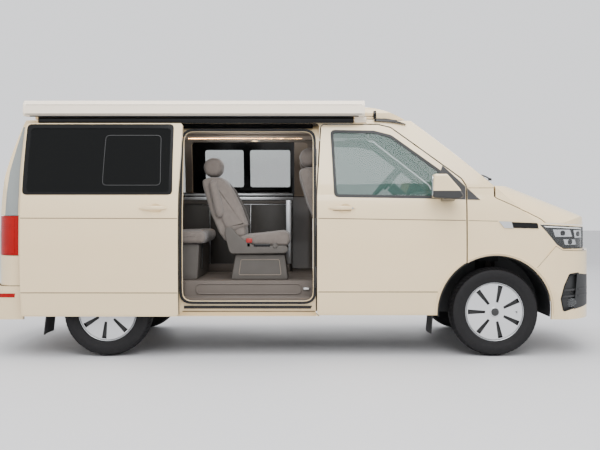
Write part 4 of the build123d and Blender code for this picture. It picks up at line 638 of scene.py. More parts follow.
# ------------------------------------------------------------------ front doors and fenders
for word, hand in SIDES:
    door = f"door_{word}"
    border = frame_ring(DOOR_WINDOW, 0.026, 0.009, 0.014)
    side_panel(f"window_border_{word}", *border, GRAINED, door, hand, proud=0.0015, thick=0.007, rows=3,
               ring=True)
    pull_handle(f"door_handle_{word}", 0.252, 0.460, 1.146, hand, door)
    strip(f"handle_shadow_{word}", ((0.285, 1.1310), (0.430, 1.1310)), ((0.290, 1.1270), (0.425, 1.1270)),
          SHADOW, door, hand, proud=0.0006, thick=0.002, rows=2)
    lock = on_side(np.array([[0.440, 1.147]]), 0.0, hand)[0]
    lathe(f"lock_barrel_{word}", [(0, 0.0215), (0.006, 0.021), (0.007, 0.018), (0, 0.018)], lock, ALUMINIUM,
          door, hand)
    strip(f"sail_panel_{word}", ((1.140, 1.478), (1.312, 1.316)), ((1.045, 1.222), (1.312, 1.2135)), SAIL,
          door, hand, proud=0.004, thick=0.006, rows=7)
    strip(f"sail_tail_{word}", ((1.326, 1.303), (1.422, 1.2125)), ((1.326, 1.2130), (1.424, 1.2105)), SAIL,
          "chassis", hand, proud=0.004, thick=0.005, rows=5)
    # Painted shade along the door's crease and its lower groove.
    strip(f"door_crease_shade_{word}", ((0.176, 1.0710), (1.310, 1.0548)), ((0.176, 1.0650), (1.310, 1.0490)),
          SHADOW, door, hand, proud=0.0006, thick=0.002, rows=2)
    strip(f"door_groove_shade_{word}", ((0.176, 0.5040), (1.096, 0.5040)), ((0.176, 0.4975), (1.096, 0.4975)),
          SHADOW, door, hand, proud=0.0008, thick=0.002, rows=2)
    strip(f"door_rub_panel_{word}", ((0.178, 0.4970), (1.092, 0.4970)), ((0.178, 0.3300), (1.085, 0.3300)),
          PAINT, door, hand, proud=0.0035, thick=0.005, rows=9)
    arch_lip(f"arch_lip_door_{word}", np.radians(np.linspace(121.5, 182.5, 40)), on_side, 0.0, hand, door)
    arch_lip(f"arch_lip_fender_{word}", np.radians(np.linspace(-3.0, 117.0, 70)), on_bumper, -0.001, hand,
             "chassis")
    seam = line((1.860, 0.690), (2.007, 0.855), (2.063, 0.823), (2.300, 0.811), count=60)
    bumper_panel(f"bumper_seam_{word}", seam, seam + (0.0, -0.0035), RUBBER, hand, proud=0.0008, thick=0.002,
                 rows=2)
    grid = patch(((1.570, 1.043), (1.862, 1.032)), ((1.610, 0.996), (1.868, 0.990)), 40, 8)
    beside = hand * BESIDE_NOSE
    draped(f"fender_blade_{word}", grid, "front_fenders", GLOSS, beside, offset=0.006, thick=0.006)
    grid = patch(((1.562, 1.046), (1.660, 1.043)), ((1.606, 0.994), (1.674, 0.9925)), 20, 6)
    draped(f"blade_tail_{word}", grid, "front_fenders", CHROME, beside, offset=0.008, thick=0.003)
    # Painted shade along the fender's crease.
    grid = patch(((1.330, 1.0530), (1.556, 1.0478)), ((1.330, 1.0495), (1.556, 1.0443)), 30, 2)
    draped(f"fender_crease_shade_{word}", grid, "front_fenders", RUBBER, beside, offset=0.0006, thick=0.002)

# ------------------------------------------------------------------ open sliding door
OPEN = 0.084
SLIDER_WINDOW = [(-2.065, 1.256), (-2.059, 1.776), (-0.951, 1.776), (-0.955, 1.256)]
outer = evened(eased([(-2.086, 1.248), (-2.078, 1.799), (-0.942, 1.799), (-0.940, 1.248)], 0.032), 160)
inner = evened(eased(shrunk(SLIDER_WINDOW, 0.012), 0.024), 160)
side_panel("slider_glass_band", outer, inner, GLOSS, proud=OPEN + 0.0015, thick=0.006, rows=4, ring=True)
vent_out, vent_in = frame_ring([(-1.478, 1.320), (-1.466, 1.712), (-1.036, 1.712), (-1.030, 1.320)], 0.034,
                               0.0, 0.0045)
side_panel("slider_vent_outline", vent_out, vent_in, SAIL, proud=OPEN - 0.0015, thick=0.003, rows=2,
           ring=True)
pull_handle("slider_handle", -1.193, -0.976, 1.146, RIGHT, "chassis", OPEN)
# Painted shade along the slider's crease and its lower groove.
strip("slider_crease_shade", ((-2.092, 1.0735), (-0.898, 1.0705)), ((-2.092, 1.0675), (-0.898, 1.0645)), SHADOW,
      proud=OPEN + 0.0006, thick=0.002, rows=2)
strip("slider_groove_shade", ((-2.092, 0.5050), (-0.898, 0.5040)), ((-2.092, 0.4985), (-0.898, 0.4975)), SHADOW,
      proud=OPEN + 0.0008, thick=0.002, rows=2)
strip("slider_rub_panel", ((-2.088, 0.4980), (-0.902, 0.4970)), ((-2.080, 0.3300), (-0.902, 0.3300)), PAINT,
      proud=OPEN + 0.0035, thick=0.005, rows=9)
z = np.linspace(0.335, 1.800, 60)
edge = np.stack([np.full_like(z, -0.8945), -(side(z) + OPEN - 0.022), z], 1)
sweep("slider_edge_seal", edge, plank(0.008, 0.020, 0.003), RUBBER, up=(0, 1, 0))

# ------------------------------------------------------------------ entry, seal, sill and step
ENTRY = [(-0.883, 0.419), (-0.883, 1.755), (0.143, 1.755), (0.143, 0.419)]
outer, inner = frame_ring(ENTRY, 0.080, 0.018, 0.001, 200)
side_panel("entry_seal", outer, inner, RUBBER, proud=-0.040, thick=0.016, rows=4, ring=True)
bead = evened(eased(shrunk(ENTRY, 0.004), 0.076), 200)
sweep("entry_flange", on_side(bead, -0.060, RIGHT), disc(0.0035, 8), PAINT, up=(0, 1, 0), closed=True)
strip("sill_slot", ((-0.868, 0.3870), (0.130, 0.3870)), ((-0.868, 0.3640), (0.118, 0.3640)), RUBBER,
      proud=-0.0495, thick=0.004, rows=3)
strip("sill_shadow_line", ((-0.880, 0.3460), (0.150, 0.3460)), ((-0.880, 0.3400), (0.150, 0.3400)), RUBBER,
      proud=-0.0500, thick=0.003, rows=2)
for name, low, high in (("upper", 0.930, 1.068), ("lower", 0.532, 0.692), ("top", 1.480, 1.610)):
    y = float(side((low + high) / 2))
    bar(f"post_striker_{name}", (0.147, -y + 0.020, low), (0.165, -y + 0.046, high), GRAINED, ease=0.003)
dish = evened(eased([(-0.795, 0.462), (-0.795, 0.543), (0.046, 0.543), (0.046, 0.462)], 0.036), 120)
dish = np.stack([dish[:, 0], np.full(len(dish), -0.6735), dish[:, 1]], 1)
sweep("step_dish_rim", dish, disc(0.0055, 10), STEP, up=(0, 1, 0), closed=True)
for k, y in enumerate(np.linspace(-0.845, -0.700, 8)):
    bar(f"step_rib_{k}", (-0.850, y - 0.004, 0.4445), (0.112, y + 0.004, 0.4480), STEP, ease=0.0012)
bar("step_light", (0.062, -0.684, 0.492), (0.112, -0.672, 0.512), ALUMINIUM, ease=0.003)
bar("step_light_lens", (0.067, -0.688, 0.496), (0.107, -0.683, 0.508), MILKY_ACRYLIC, ease=0.002)

# ------------------------------------------------------------------ awning, gutter and roof trim
case = eased([(-0.8000, 1.8630), (-0.8000, 1.9780), (-0.8680, 1.9830), (-0.9030, 1.9480), (-0.9080, 1.8800),
              (-0.8920, 1.8610)], 0.009, 5)
for name, x in (("rear", -2.1005), ("front", 0.5275)):
    middle = case.mean(0)
    around = (case - middle) * (1.012, 1.0) + middle
    cap = np.stack([np.insert(middle + by * (around - middle), 0, x + step, axis=1)
                    for step, by in ((-0.010, 0.97), (-0.007, 1.0), (0.007, 1.0), (0.010, 0.97))])
    piece(f"awning_cap_{name}", cap, tube_faces(*cap.shape[:2]), AWNING)
# Dark grey lines across the awning's face: joints in its profile, drawn dark also as painted shade along its
# lower edge and its chamfer.
for name, z, deep in (("low", 1.8745, 0.0035), ("crease", 1.9470, 0.002)):
    y = -0.9078 if name == "low" else -0.9036
    bar(f"awning_joint_and_shade_{name}", (-2.090, y - 0.0012, z - deep / 2), (0.516, y + 0.002, z + deep / 2), SAIL,
        ease=0.0006)
# The awning's black bed rail, made taller to stand in also as painted shade under the awning.
bar("awning_bed_rail_and_shade", (-2.010, -0.846, 1.812), (0.455, -0.796, 1.862), GLOSS, ease=0.006)
bar("awning_tie", (0.450, -0.800, 1.8655), (0.615, -0.790, 1.8715), GLOSS, ease=0.002)
# A black panel over the entry: partly the sliding door's top rail, partly painted shade under the roof's
# edge.
side_panel("entry_head_rail_and_shade", line((-0.935, 1.8240), (0.138, 1.8240), count=40),
           line((-0.935, 1.7760), (0.138, 1.7760), count=40),
           GLOSS, proud=-0.036, thick=0.014, rows=6)
bar("awning_lead_rail", (-2.060, -0.8995, 1.8565), (0.490, -0.868, 1.8635), GRAINED, ease=0.002)
bar("awning_bracket", (0.610, -0.806, 1.852), (0.634, -0.776, 1.912), GLOSS, ease=0.005)
top = line((0.618, 1.862), (0.700, 1.857), (0.775, 1.842), (0.862, 1.808), count=30)
low = line((0.618, 1.830), (0.700, 1.826), (0.775, 1.817), (0.866, 1.802), count=30)
for word, hand in SIDES:
    side_panel(f"gutter_trim_{word}", top, low, GLOSS, "chassis", hand, proud=0.019, thick=0.026, rows=6)
bar("gutter_strip_left", (-2.000, 0.8000, 1.806), (0.610, 0.8085, 1.818), GRAINED, ease=0.003)

# ------------------------------------------------------------------ nose: lamps, grille, vents, wipers
def drawn_in(name, node, depth, finish):
    """A copy of a node's skin with every point moved inward by depth, as a housing behind a lens."""
    mesh = NODES[node].data.copy()
    tidy = bmesh.new()
    tidy.from_mesh(mesh)
    bmesh.ops.remove_doubles(tidy, verts=tidy.verts, dist=1e-5)
    bmesh.ops.recalc_face_normals(tidy, faces=tidy.faces)
    tidy.normal_update()
    tidy.to_mesh(mesh)
    tidy.free()
    count = len(mesh.vertices)
    points, turn = np.empty(count * 3), np.empty(count * 3)
    mesh.vertices.foreach_get("co", points)
    mesh.vertices.foreach_get("normal", turn)
    mesh.vertices.foreach_set("co", points - depth * turn)
    mesh.materials.clear()
    mesh.materials.append(finish)
    made = bpy.data.objects.new(name, mesh)
    bpy.context.scene.collection.objects.link(made)
    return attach(made, "chassis")


drawn_in("headlamp_housing", "headlights", 0.012, GLOSS)
VENT = [(2.121, 0.634), (2.210, 0.643), (2.229, 0.595), (2.224, 0.438), (2.194, 0.378), (2.071, 0.349),
        (2.047, 0.447), (2.076, 0.545)]
# Radius and depth round the fog lamps' own axis.
FOG_LENS = [(0, 0.012), (0.020, 0.011), (0.030, 0.007), (0.036, 0.010), (0.038, 0.0), (0, 0.0)]
FOG_BOWL = [(0, 0.001), (0.018, 0.002), (0.030, 0.005), (0.034, 0.006), (0.034, -0.003), (0, -0.003)]
# Half the width of a headlamp's round lens, before its corners are eased.
LAMP_LENS_HALF = 0.020
for word, hand in SIDES:
    for name, x_from, x_to, z_low, z_high, slant in (
        ("upper", 1.985, 2.135, 0.925, 0.982, 0.020), ("lower", 2.075, 2.185, 0.862, 0.905, 0.014),
        ("outer", 2.170, 2.255, 0.915, 0.975, 0.014),
    ):
        grid = patch(((x_from, z_high), (x_to, z_high - 0.004)),
                     ((x_from + slant, z_low), (x_to + slant, z_low)), 16, 6)
        draped(f"lamp_bowl_{name}_{word}", grid, "headlights", CHROME, hand * BESIDE_NOSE, offset=-0.0045,
               thick=0.006)
        centre = np.array([(x_from + x_to + slant) / 2, (z_low + z_high) / 2])
        square = LAMP_LENS_HALF * np.array([(-1, -1), (1, -1), (1, 1), (-1, 1)])
        lens = eased(centre + square, 0.019, 6)
        draped(f"lamp_lens_{name}_{word}", ruled(lens, scaled(lens, 0.02), 4), "headlights", GLOSS,
               hand * BESIDE_NOSE, offset=-0.0030, thick=0.004, ring=True)
    grid = patch(((1.915, 1.0090), (2.262, 0.9905)), ((1.925, 1.0000), (2.262, 0.9830)), 30, 3)
    draped(f"lamp_light_strip_{word}", grid, "headlights", MILKY_ACRYLIC, hand * BESIDE_NOSE,
           offset=-0.0040, thick=0.004)
    edge = evened(eased(VENT, 0.018), 100)
    bumper_panel(f"vent_back_{word}", scaled(edge, 1.05), scaled(edge, 0.05), GRAINED, hand, proud=-0.0265,
                 thick=0.005, rows=8, ring=True)
    bumper_panel(f"vent_rim_{word}", scaled(edge, 1.03), scaled(edge, 0.93), GLOSS, hand, proud=0.0015,
                 thick=0.022, rows=3, ring=True)
    for k, z in enumerate((0.508, 0.460)):
        bumper_panel(f"vent_fin_{k}_{word}", line((2.070, z + 0.008), (2.216, z + 0.014), count=16),
                     line((2.068, z - 0.006), (2.216, z + 0.000), count=16), SAIL, hand, proud=-0.006,
                     thick=0.006, rows=3)
    bumper_panel(f"vent_wrap_{word}", line((2.195, 0.640), (2.350, 0.618), count=30),
                 line((2.165, 0.362), (2.350, 0.392), count=30), GRAINED, hand, proud=0.003, thick=0.006,
                 rows=10)
    for k, z in enumerate((0.512, 0.462)):
        bumper_panel(f"vent_wrap_fin_{k}_{word}", line((2.205, z + 0.010), (2.345, z + 0.010), count=24),
                     line((2.205, z - 0.002), (2.345, z - 0.002), count=24), SAIL, hand, proud=0.009,
                     thick=0.008, rows=3)
    place = on_bumper(np.array([[2.145, 0.412]]), -0.020, hand)[0]
    lathe(f"fog_lamp_{word}", FOG_LENS, place, LENS, "chassis", hand, 40)
    lathe(f"fog_lamp_bowl_{word}", FOG_BOWL, place, GRAINED, "chassis", hand, 40)

for name, z in (("upper", 0.9385), ("lower", 0.8705)):
    grid = patch(((-0.520, z + 0.004), (0.520, z + 0.004)), ((-0.520, z - 0.004), (0.520, z - 0.004)), 60, 2)
    draped(f"grille_strip_{name}", grid, "grille", CHROME, BEYOND_END, way="x", offset=0.003, thick=0.005)
grid = patch(((-0.330, 0.925), (0.330, 0.925)), ((-0.330, 0.890), (0.330, 0.890)), 40, 4)
draped("tailgate_grip", grid, "tailgate", GRAINED, -BEYOND_END, "rear_gate", way="x", offset=0.014,
       thick=0.014)

# Windscreen: a circle in (x, z) on the centre line, whose radius falls by the drop toward the sides.
SCREEN_AHEAD, SCREEN_Z, SCREEN_RADIUS = circle_through((-0.579, 1.868), (-0.301, 1.661), (0.100, 1.338))
SCREEN_X = FRONT_AXLE + SCREEN_AHEAD
SCREEN_DROP, SCREEN_HALF = 0.100, 0.992


def on_screen(x, y, proud):
    """Points on the windscreen at x and y: its circle less the drop times the square of the way across."""
    reach = SCREEN_RADIUS - SCREEN_DROP * (y / SCREEN_HALF) ** 2 + proud
    return np.stack([x, y, SCREEN_Z + np.sqrt(reach**2 - (x - SCREEN_X) ** 2)], -1)


WIPER_CAP = [(0, 0.020), (0.012, 0.018), (0.016, 0.0), (0, 0.0)]
for name, start, end in (("near", (1.560, -0.640), (1.575, 0.020)), ("far", (1.590, 0.060), (1.535, 0.640))):
    t = np.linspace(0, 1, 30)
    x = start[0] + (end[0] - start[0]) * t - 0.012 * np.sin(np.pi * t)
    y = start[1] + (end[1] - start[1]) * t
    sweep(f"wiper_arm_{name}", on_screen(x, y, 0.021), plank(0.012, 0.007, 0.002), RUBBER, up=(0, 0, 1),
          grow=np.linspace(1.3, 0.6, 30))
    y2 = np.linspace(end[1] - 0.46, end[1] + 0.06, 30)
    x2 = end[0] - 0.012 - 0.055 * (y2 - end[1]) ** 2
    sweep(f"wiper_blade_{name}", on_screen(x2, y2, 0.009), plank(0.007, 0.014, 0.002), RUBBER, up=(0, 0, 1))
    lathe(f"wiper_cap_{name}", WIPER_CAP, on_screen(*np.array(start), 0.012), RUBBER, axis="z")

# ------------------------------------------------------------------ tail: reflectors, lamps, quarter panes
for word, hand in SIDES:
    reflector = patch(((-2.300, 0.489), (-2.160, 0.489)), ((-2.292, 0.458), (-2.166, 0.458)), 16, 4)
    draped(f"rear_reflector_{word}", reflector, "rear_bumper", REFLECTOR_RED, hand * BESIDE_TAIL,
           offset=0.003, thick=0.004)
    for k, (z_low, z_high) in enumerate(((0.800, 0.868), (0.884, 0.990), (1.006, 1.072))):
        seg = patch(((-2.285, z_high), (-2.160, z_high)), ((-2.285, z_low), (-2.160, z_low)), 14, 4)
        draped(f"tail_lamp_segment_{k}_{word}", seg, "tail_lamps", REFLECTOR_RED, hand * BESIDE_TAIL,
               offset=0.0025, thick=0.003)

# Rear quarter panes: grey tinted glass wrapped round the corner above the lamps.
QUARTER = finish("grey_quarter_glass", "7E8382", "888D8C", 0.12, cloud=0.5, ior=1.5)
for word, hand in SIDES:
    behind = line((-2.245, 1.090), (-2.212, 1.430), (-2.135, 1.782), count=40)
    ahead = line((-2.134, 1.090), (-2.134, 1.430), (-2.122, 1.782), count=40)
    draped(f"quarter_pane_{word}", ruled(behind, ahead, 10), f"body_side_{word}", QUARTER, hand * BESIDE_TAIL,
           offset=0.0025, thick=0.004)

# ------------------------------------------------------------------ mudflaps
# The flaps hang from this height. They lean more the lower they go, and bow across their width.
FLAP_TOP, FLAP_THICK = 0.345, 0.009
for word, hand in SIDES:
    for name, x, lean_back, z_low in (("rear", -1.925, -0.020, 0.165), ("front", 1.062, -0.014, 0.175)):
        z = np.linspace(z_low, FLAP_TOP, 8)[:, None] + np.zeros((1, 8))
        y = hand * (np.linspace(0.640, 0.905, 8)[None, :] + np.zeros((8, 1)))
        bow = 0.010 * np.sin(np.pi * np.linspace(0, 1, 8))[None, :]
        bent = x + lean_back * (FLAP_TOP - z) / 0.18 + bow * np.sign(lean_back)
        front = np.stack([bent + FLAP_THICK / 2, y, z], -1)
        slab(f"mudflap_{name}_{word}", front, front - (FLAP_THICK, 0, 0), RUBBER)

# ------------------------------------------------------------------ mirrors' glass
for word, hand in SIDES:
    outline = eased([(1.075, 1.238), (1.075, 1.386), (1.136, 1.386), (1.136, 1.238)], 0.020, 6)
    face = np.stack([np.full(len(outline), 1.0275), hand * outline[:, 0], outline[:, 1]], 1)
    front = ruled(face, scaled(face, 0.03), 4)
    slab(f"mirror_glass_{word}", front, front + (0.004, 0, 0), CHROME, f"door_{word}", ring=True)

# ------------------------------------------------------------------ seats
# Hard trim on posts and beads: beige, matt.
TRIM = finish("moulded_beige_trim", "8A7E71", "7D7266", 0.7, cloud=0.3, grain=0.002, depth=0.0002)
# A stitched channel: how deep it is pressed in, and half its width where it is about a third as deep.
SEAM_DEPTH, SEAM_HALF = 0.006, 0.0035


def cushion(name, outline, at, width, finish, ease=0.03, edge=0.024, crown=0.007, seams=(), fill=0.8):
    """A stuffed form: an outline of (x, z) carried across Y. Its size is moved in by a quarter circle
    near each end, out by crown times one less the square of the way across, and in at each seam."""
    x, y, z = at
    path = evened(eased(outline, ease, 8), 110)
    ahead = np.roll(path, -1, 0) - np.roll(path, 1, 0)
    ahead /= np.linalg.norm(ahead, axis=1)[:, None]
    out = np.stack([ahead[:, 1], -ahead[:, 0]], 1)
    out *= np.sign((out * (path - path.mean(0))).sum())
    turn = np.linspace(0, np.pi / 2, 7)
    reach = width / 2 - edge
    near = [seam + step for seam in seams for step in (-0.010, -0.006, -0.003, 0.0, 0.003, 0.006, 0.010)]
    flat = np.unique(np.concatenate([np.linspace(-reach, reach, 25)[1:-1], near]))
    channels = sum((SEAM_DEPTH * np.exp(-((flat - seam) / SEAM_HALF) ** 2) for seam in seams), 0 * flat)
    full = crown * (1 - (flat / reach) ** 2) - channels
    end = -edge * (1 - np.sin(turn))
    across = np.concatenate([-reach - edge * np.cos(turn), flat, (reach + edge * np.cos(turn))[::-1]])
    grown = np.concatenate([end, full, end[::-1]])
    grid = path[None] + out[None] * grown[:, None, None]
    points = np.stack([x + grid[..., 0], y + across[:, None] + 0 * grid[..., 0], z + grid[..., 1]], -1)
    made = piece(name, points, tube_faces(*points.shape[:2]), finish)
    return made if fill else made


SEAT_CUSHION = [(0.10, -0.055), (0.50, -0.062), (0.522, -0.02), (0.515, 0.035), (0.47, 0.055), (0.30, 0.035),
                (0.14, 0.02), (0.09, 0.0)]
SEAT_BACK = [(0.08, 0.0), (0.165, 0.02), (0.155, 0.10), (0.10, 0.24), (0.03, 0.40), (0.0, 0.46),
             (-0.05, 0.49), (-0.13, 0.49), (-0.19, 0.47), (-0.185, 0.42), (-0.12, 0.20), (-0.05, 0.04),
             (0.0, -0.03)]
SEAT_BOLSTER = [(0.06, 0.05), (0.135, 0.08), (0.185, 0.10), (0.135, 0.24), (0.060, 0.39), (0.0, 0.455),
                (-0.05, 0.475), (-0.12, 0.475), (-0.13, 0.42), (-0.07, 0.22), (0.0, 0.06)]
HEADREST = [(-0.17, 0.52), (-0.19, 0.58), (-0.17, 0.63), (-0.12, 0.655), (-0.06, 0.645), (-0.03, 0.60),
            (-0.04, 0.54), (-0.07, 0.505), (-0.13, 0.50)]
BASE_SHIELD = [(0.0, 0.085), (0.05, 0.09), (0.10, 0.03), (0.17, -0.03), (0.24, -0.06), (0.50, -0.065),
               (0.51, -0.10), (0.48, -0.12), (0.05, -0.125), (0.03, -0.10), (0.0, 0.02)]
SEAT_TRAY = [(0.03, -0.060), (0.49, -0.060), (0.485, -0.125), (0.05, -0.130)]


def seat(word, x, y, z, width, drop, node=None):
    """One seat: stuffed cushion, back, two bolsters and headrest, with hard shields, tray and pedestal."""
    at = (x, y, z)
    base = cushion(f"seat_cushion_{word}", SEAT_CUSHION, at, width - 0.050, GREY_FABRIC,
                   seams=(-0.125, 0.125))
    if node:
        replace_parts(base, node)
    cushion(f"seat_back_{word}", SEAT_BACK, at, width - 0.070, GREY_FABRIC, seams=(-0.120, 0.120))
    for hand in (RIGHT, LEFT):
        off = hand * (width / 2 - 0.068)
        # The left-hand bolster takes the darker fabric as painted shade.
        cushion(f"seat_bolster_{word}_{hand + 1}", SEAT_BOLSTER, (x, y + off, z), 0.096,
                SHADED_FABRIC if hand > 0 else GREY_FABRIC, edge=0.034, crown=0.004)
        cushion(f"seat_shield_{word}_{hand + 1}", BASE_SHIELD, (x, y + hand * (width / 2 - 0.013), z), 0.028,
                PEDESTAL, ease=0.02, edge=0.006, crown=0.0, fill=0)
        sweep(f"headrest_post_{word}_{hand + 1}",
              [(x - 0.118, y + hand * 0.060, z + 0.46), (x - 0.112, y + hand * 0.060, z + 0.53)],
              disc(0.006, 14), CHROME, up=(0, 1, 0))
    cushion(f"headrest_{word}", HEADREST, at, 0.270, GREY_FABRIC, ease=0.05, edge=0.040, crown=0.006,
            seams=(-0.085, 0.085))
    cushion(f"seat_tray_{word}", SEAT_TRAY, at, width - 0.050, PEDESTAL, ease=0.012, edge=0.006, crown=0.0,
            fill=0)
    foot = [(0.08, -0.132), (0.479, -0.132), (0.508, -drop), (0.043, -drop)]
    cushion(f"seat_pedestal_{word}", foot, at, 0.380, PEDESTAL, ease=0.014, edge=0.010, crown=0.0, fill=0)
    for hand in (RIGHT, LEFT):
        inset = evened(eased([(0.125, -0.175), (0.435, -0.175), (0.450, -drop + 0.040),
                              (0.108, -drop + 0.040)], 0.012), 100)
        ring = np.stack([x + inset[:, 0], np.full(100, y + hand * 0.1905), z + inset[:, 1]], 1)
        sweep(f"pedestal_bead_{word}_{hand + 1}", ring, disc(0.0028, 8), TRIM, up=(0, 1, 0), closed=True)


seat("cabin", -0.568, -0.390, 0.905, 0.470, 0.338, "cabin_seat")
seat("cab_right", 0.223, -0.430, 0.985, 0.500, 0.3755, "front_seats")
seat("cab_left", 0.223, 0.430, 0.985, 0.500, 0.3755)
arm = np.array([(-0.672, -0.600, 1.372), (-0.655, -0.603, 1.290), (-0.628, -0.604, 1.170),
                (-0.604, -0.600, 1.072)])
arm = evened(arm, 30, closed=False)
t = np.linspace(-1, 1, 30)
round_ends = np.maximum(1 - np.abs(t) ** 9, 0.0) ** 0.5 + 0.02
sweep("seat_armrest", arm, disc(0.036, 24), GREY_FABRIC, up=(0, 1, 0), grow=round_ends)
bar("seat_buckle", (-0.398, -0.630, 0.868), (-0.350, -0.612, 0.905), RED_ABS, ease=0.006)
bar("seat_buckle_stalk", (-0.392, -0.626, 0.835), (-0.366, -0.616, 0.880), GRAINED, ease=0.003)
bar("seat_lever", (-0.338, -0.6305, 0.836), (-0.205, -0.618, 0.860), GLOSS, ease=0.008)
lathe("seat_knob", [(0, 0.010), (0.018, 0.009), (0.020, 0.0), (0, 0.0)], (-0.165, -0.628, 0.848), PEDESTAL,
      "chassis", RIGHT, 32)
belt = np.array([(-0.545, -0.255, 1.180), (-0.470, -0.225, 1.060), (-0.395, -0.200, 0.962)])
sweep("seat_belt", evened(belt, 12, closed=False), plank(0.003, 0.046, 0.001), GRAINED, up=(0, 1, 0))

# ------------------------------------------------------------------ bench
BENCH_X, BENCH_Y = -0.730, -0.130
bench = cushion("bench_cushion",
                [(-0.47, 0.862), (-0.02, 0.862), (0.0, 0.90), (-0.005, 0.945), (-0.04, 0.963), (-0.25, 0.957),
                 (-0.44, 0.95)],
                (BENCH_X, BENCH_Y, 0), 0.976, GREY_FABRIC, edge=0.030, seams=(-0.320, 0.0, 0.320))
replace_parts(bench, "rear_bench")
cushion("bench_back", [(-0.56, 0.87), (-0.45, 0.90), (-0.44, 0.955), (-0.50, 1.2), (-0.58, 1.45),
                       (-0.62, 1.475), (-0.68, 1.47), (-0.70, 1.44), (-0.66, 1.25), (-0.60, 1.0)],
        (BENCH_X, BENCH_Y, 0), 0.976, GREY_FABRIC, edge=0.030, seams=(-0.320, 0.0, 0.320))
for k, y in enumerate((-0.370, 0.110)):
    cushion(f"bench_headrest_{k}",
            [(-0.73, 1.50), (-0.625, 1.50), (-0.60, 1.56), (-0.64, 1.645), (-0.71, 1.655), (-0.745, 1.58)],
            (BENCH_X, BENCH_Y + y, 0), 0.260, GREY_FABRIC, ease=0.04, edge=0.035, crown=0.005)
cushion("bench_box", [(-0.510, 0.567), (-0.068, 0.567), (-0.052, 0.858), (-0.520, 0.858)],
        (BENCH_X, BENCH_Y, 0), 0.880, PEDESTAL, ease=0.012, edge=0.008, crown=0.0, fill=0)
bar("bench_strap", (BENCH_X - 0.050, -0.400, 0.640), (BENCH_X - 0.044, -0.375, 0.850), GRAINED, ease=0.002)
bar("bench_handle", (-1.055, -0.6260, 1.075), (-1.020, -0.6160, 1.190), ALUMINIUM, ease=0.004)

# ------------------------------------------------------------------ kitchen, far windows, ceiling
# Where the strips and posts of the kitchen's front end inside; its doors stop half a millimetre short.
KITCHEN_Y = 0.3840
bar("worktop_edge", (-1.900, 0.3680, 1.262), (-0.030, KITCHEN_Y, 1.280), ALUMINIUM, ease=0.003)
bar("worktop_shadow_gap", (-1.895, 0.3720, 1.250), (-0.032, KITCHEN_Y, 1.262), GRAINED, ease=0.001)
bar("drawer_rail", (-1.900, 0.3640, 1.221), (-0.030, KITCHEN_Y, 1.250), ALUMINIUM, ease=0.004)
bar("drawer_band", (-1.895, 0.3700, 1.187), (-0.032, KITCHEN_Y, 1.219), PEDESTAL, ease=0.002)
bar("door_top_line", (-0.860, 0.3690, 1.179), (-0.094, KITCHEN_Y, 1.184), ALUMINIUM, ease=0.001)
for name, x in (("door_divider", -0.4185), ("door_divider_rear", -0.7900), ("door_divider_tail", -1.2400)):
    bar(name, (x, 0.3690, 0.640), (x + 0.004, KITCHEN_Y, 1.179), ALUMINIUM, ease=0.001)
bar("kitchen_post", (-0.094, 0.3660, 0.640), (-0.042, KITCHEN_Y, 1.221), ALUMINIUM, ease=0.005)
for k, (x_from, x_to) in enumerate(((-1.232, -0.794), (-0.782, -0.4225), (-0.4105, -0.100))):
    bar(f"kitchen_door_{k}", (x_from, 0.3710, 0.650), (x_to, 0.3835, 1.174), LAMINATE, ease=0.003)
bar("kitchen_plinth", (-1.850, 0.3760, 0.572), (-0.060, KITCHEN_Y, 0.640), STEP, ease=0.002)
bar("hob_lid", (-0.560, 0.430, 1.2875), (-0.060, 0.800, 1.2925), GLOSS, ease=0.002)
bar("sink_lid", (-1.080, 0.430, 1.2875), (-0.640, 0.800, 1.2925), GLOSS, ease=0.002)
bar("kitchen_tail_rail", (-1.052, 0.3655, 1.2865), (-0.880, 0.3800, 1.2905), GLOSS, ease=0.001)
for word, x_from, x_to, o_from, o_to in (("rear", -1.015, -0.477, -0.877, -0.509),
                                         ("front", -0.477, 0.113, -0.445, -0.060)):
    outer = evened(eased([(x_from, 1.248), (x_from, 1.784), (x_to, 1.784), (x_to, 1.248)], 0.012), 140)
    inner = evened(eased([(o_from, 1.352), (o_from, 1.707), (o_to, 1.707), (o_to, 1.352)], 0.022), 140)
    side_panel(f"far_window_frame_{word}", outer, inner, GLOSS, "chassis", LEFT, proud=-0.012, thick=0.012,
               rows=4, ring=True)
side_panel("far_window_post_trim", line((-0.020, 1.780), (0.112, 1.780), count=12),
           line((-0.020, 1.262), (0.112, 1.262), count=12),
           TRIM, "chassis", LEFT, proud=-0.034, thick=0.006, rows=14)
side_panel("far_window_tail_trim", line((-1.075, 1.780), (-1.000, 1.780), count=10),
           line((-1.075, 1.262), (-1.000, 1.262), count=10),
           TRIM, "chassis", LEFT, proud=-0.034, thick=0.006, rows=14)
bar("ceiling_light_strip", (-1.014, 0.560, 1.792), (0.056, 0.585, 1.806), GLOW, ease=0.004)
bar("ceiling_light_case", (-1.040, 0.587, 1.784), (0.080, 0.620, 1.812), TRIM, ease=0.004)
lathe("ceiling_spot", [(0, -0.003), (0.030, -0.002), (0.034, 0.004), (0, 0.004)], (-0.392, 0.640, 1.786),
      GLOW, axis="z", count=40)
lathe("ceiling_spot_ring", [(0.034, -0.005), (0.046, -0.004), (0.050, 0.004), (0.034, 0.004)],
      (-0.392, 0.640, 1.786), ALUMINIUM, axis="z", count=40)

# ------------------------------------------------------------------ tent
TENT_LOW, TENT_HIGH, FOLDS, ROOF_ANGLE, ROOF_HINGE_X = 1.848, 1.888, 12, 20.0, -2.048


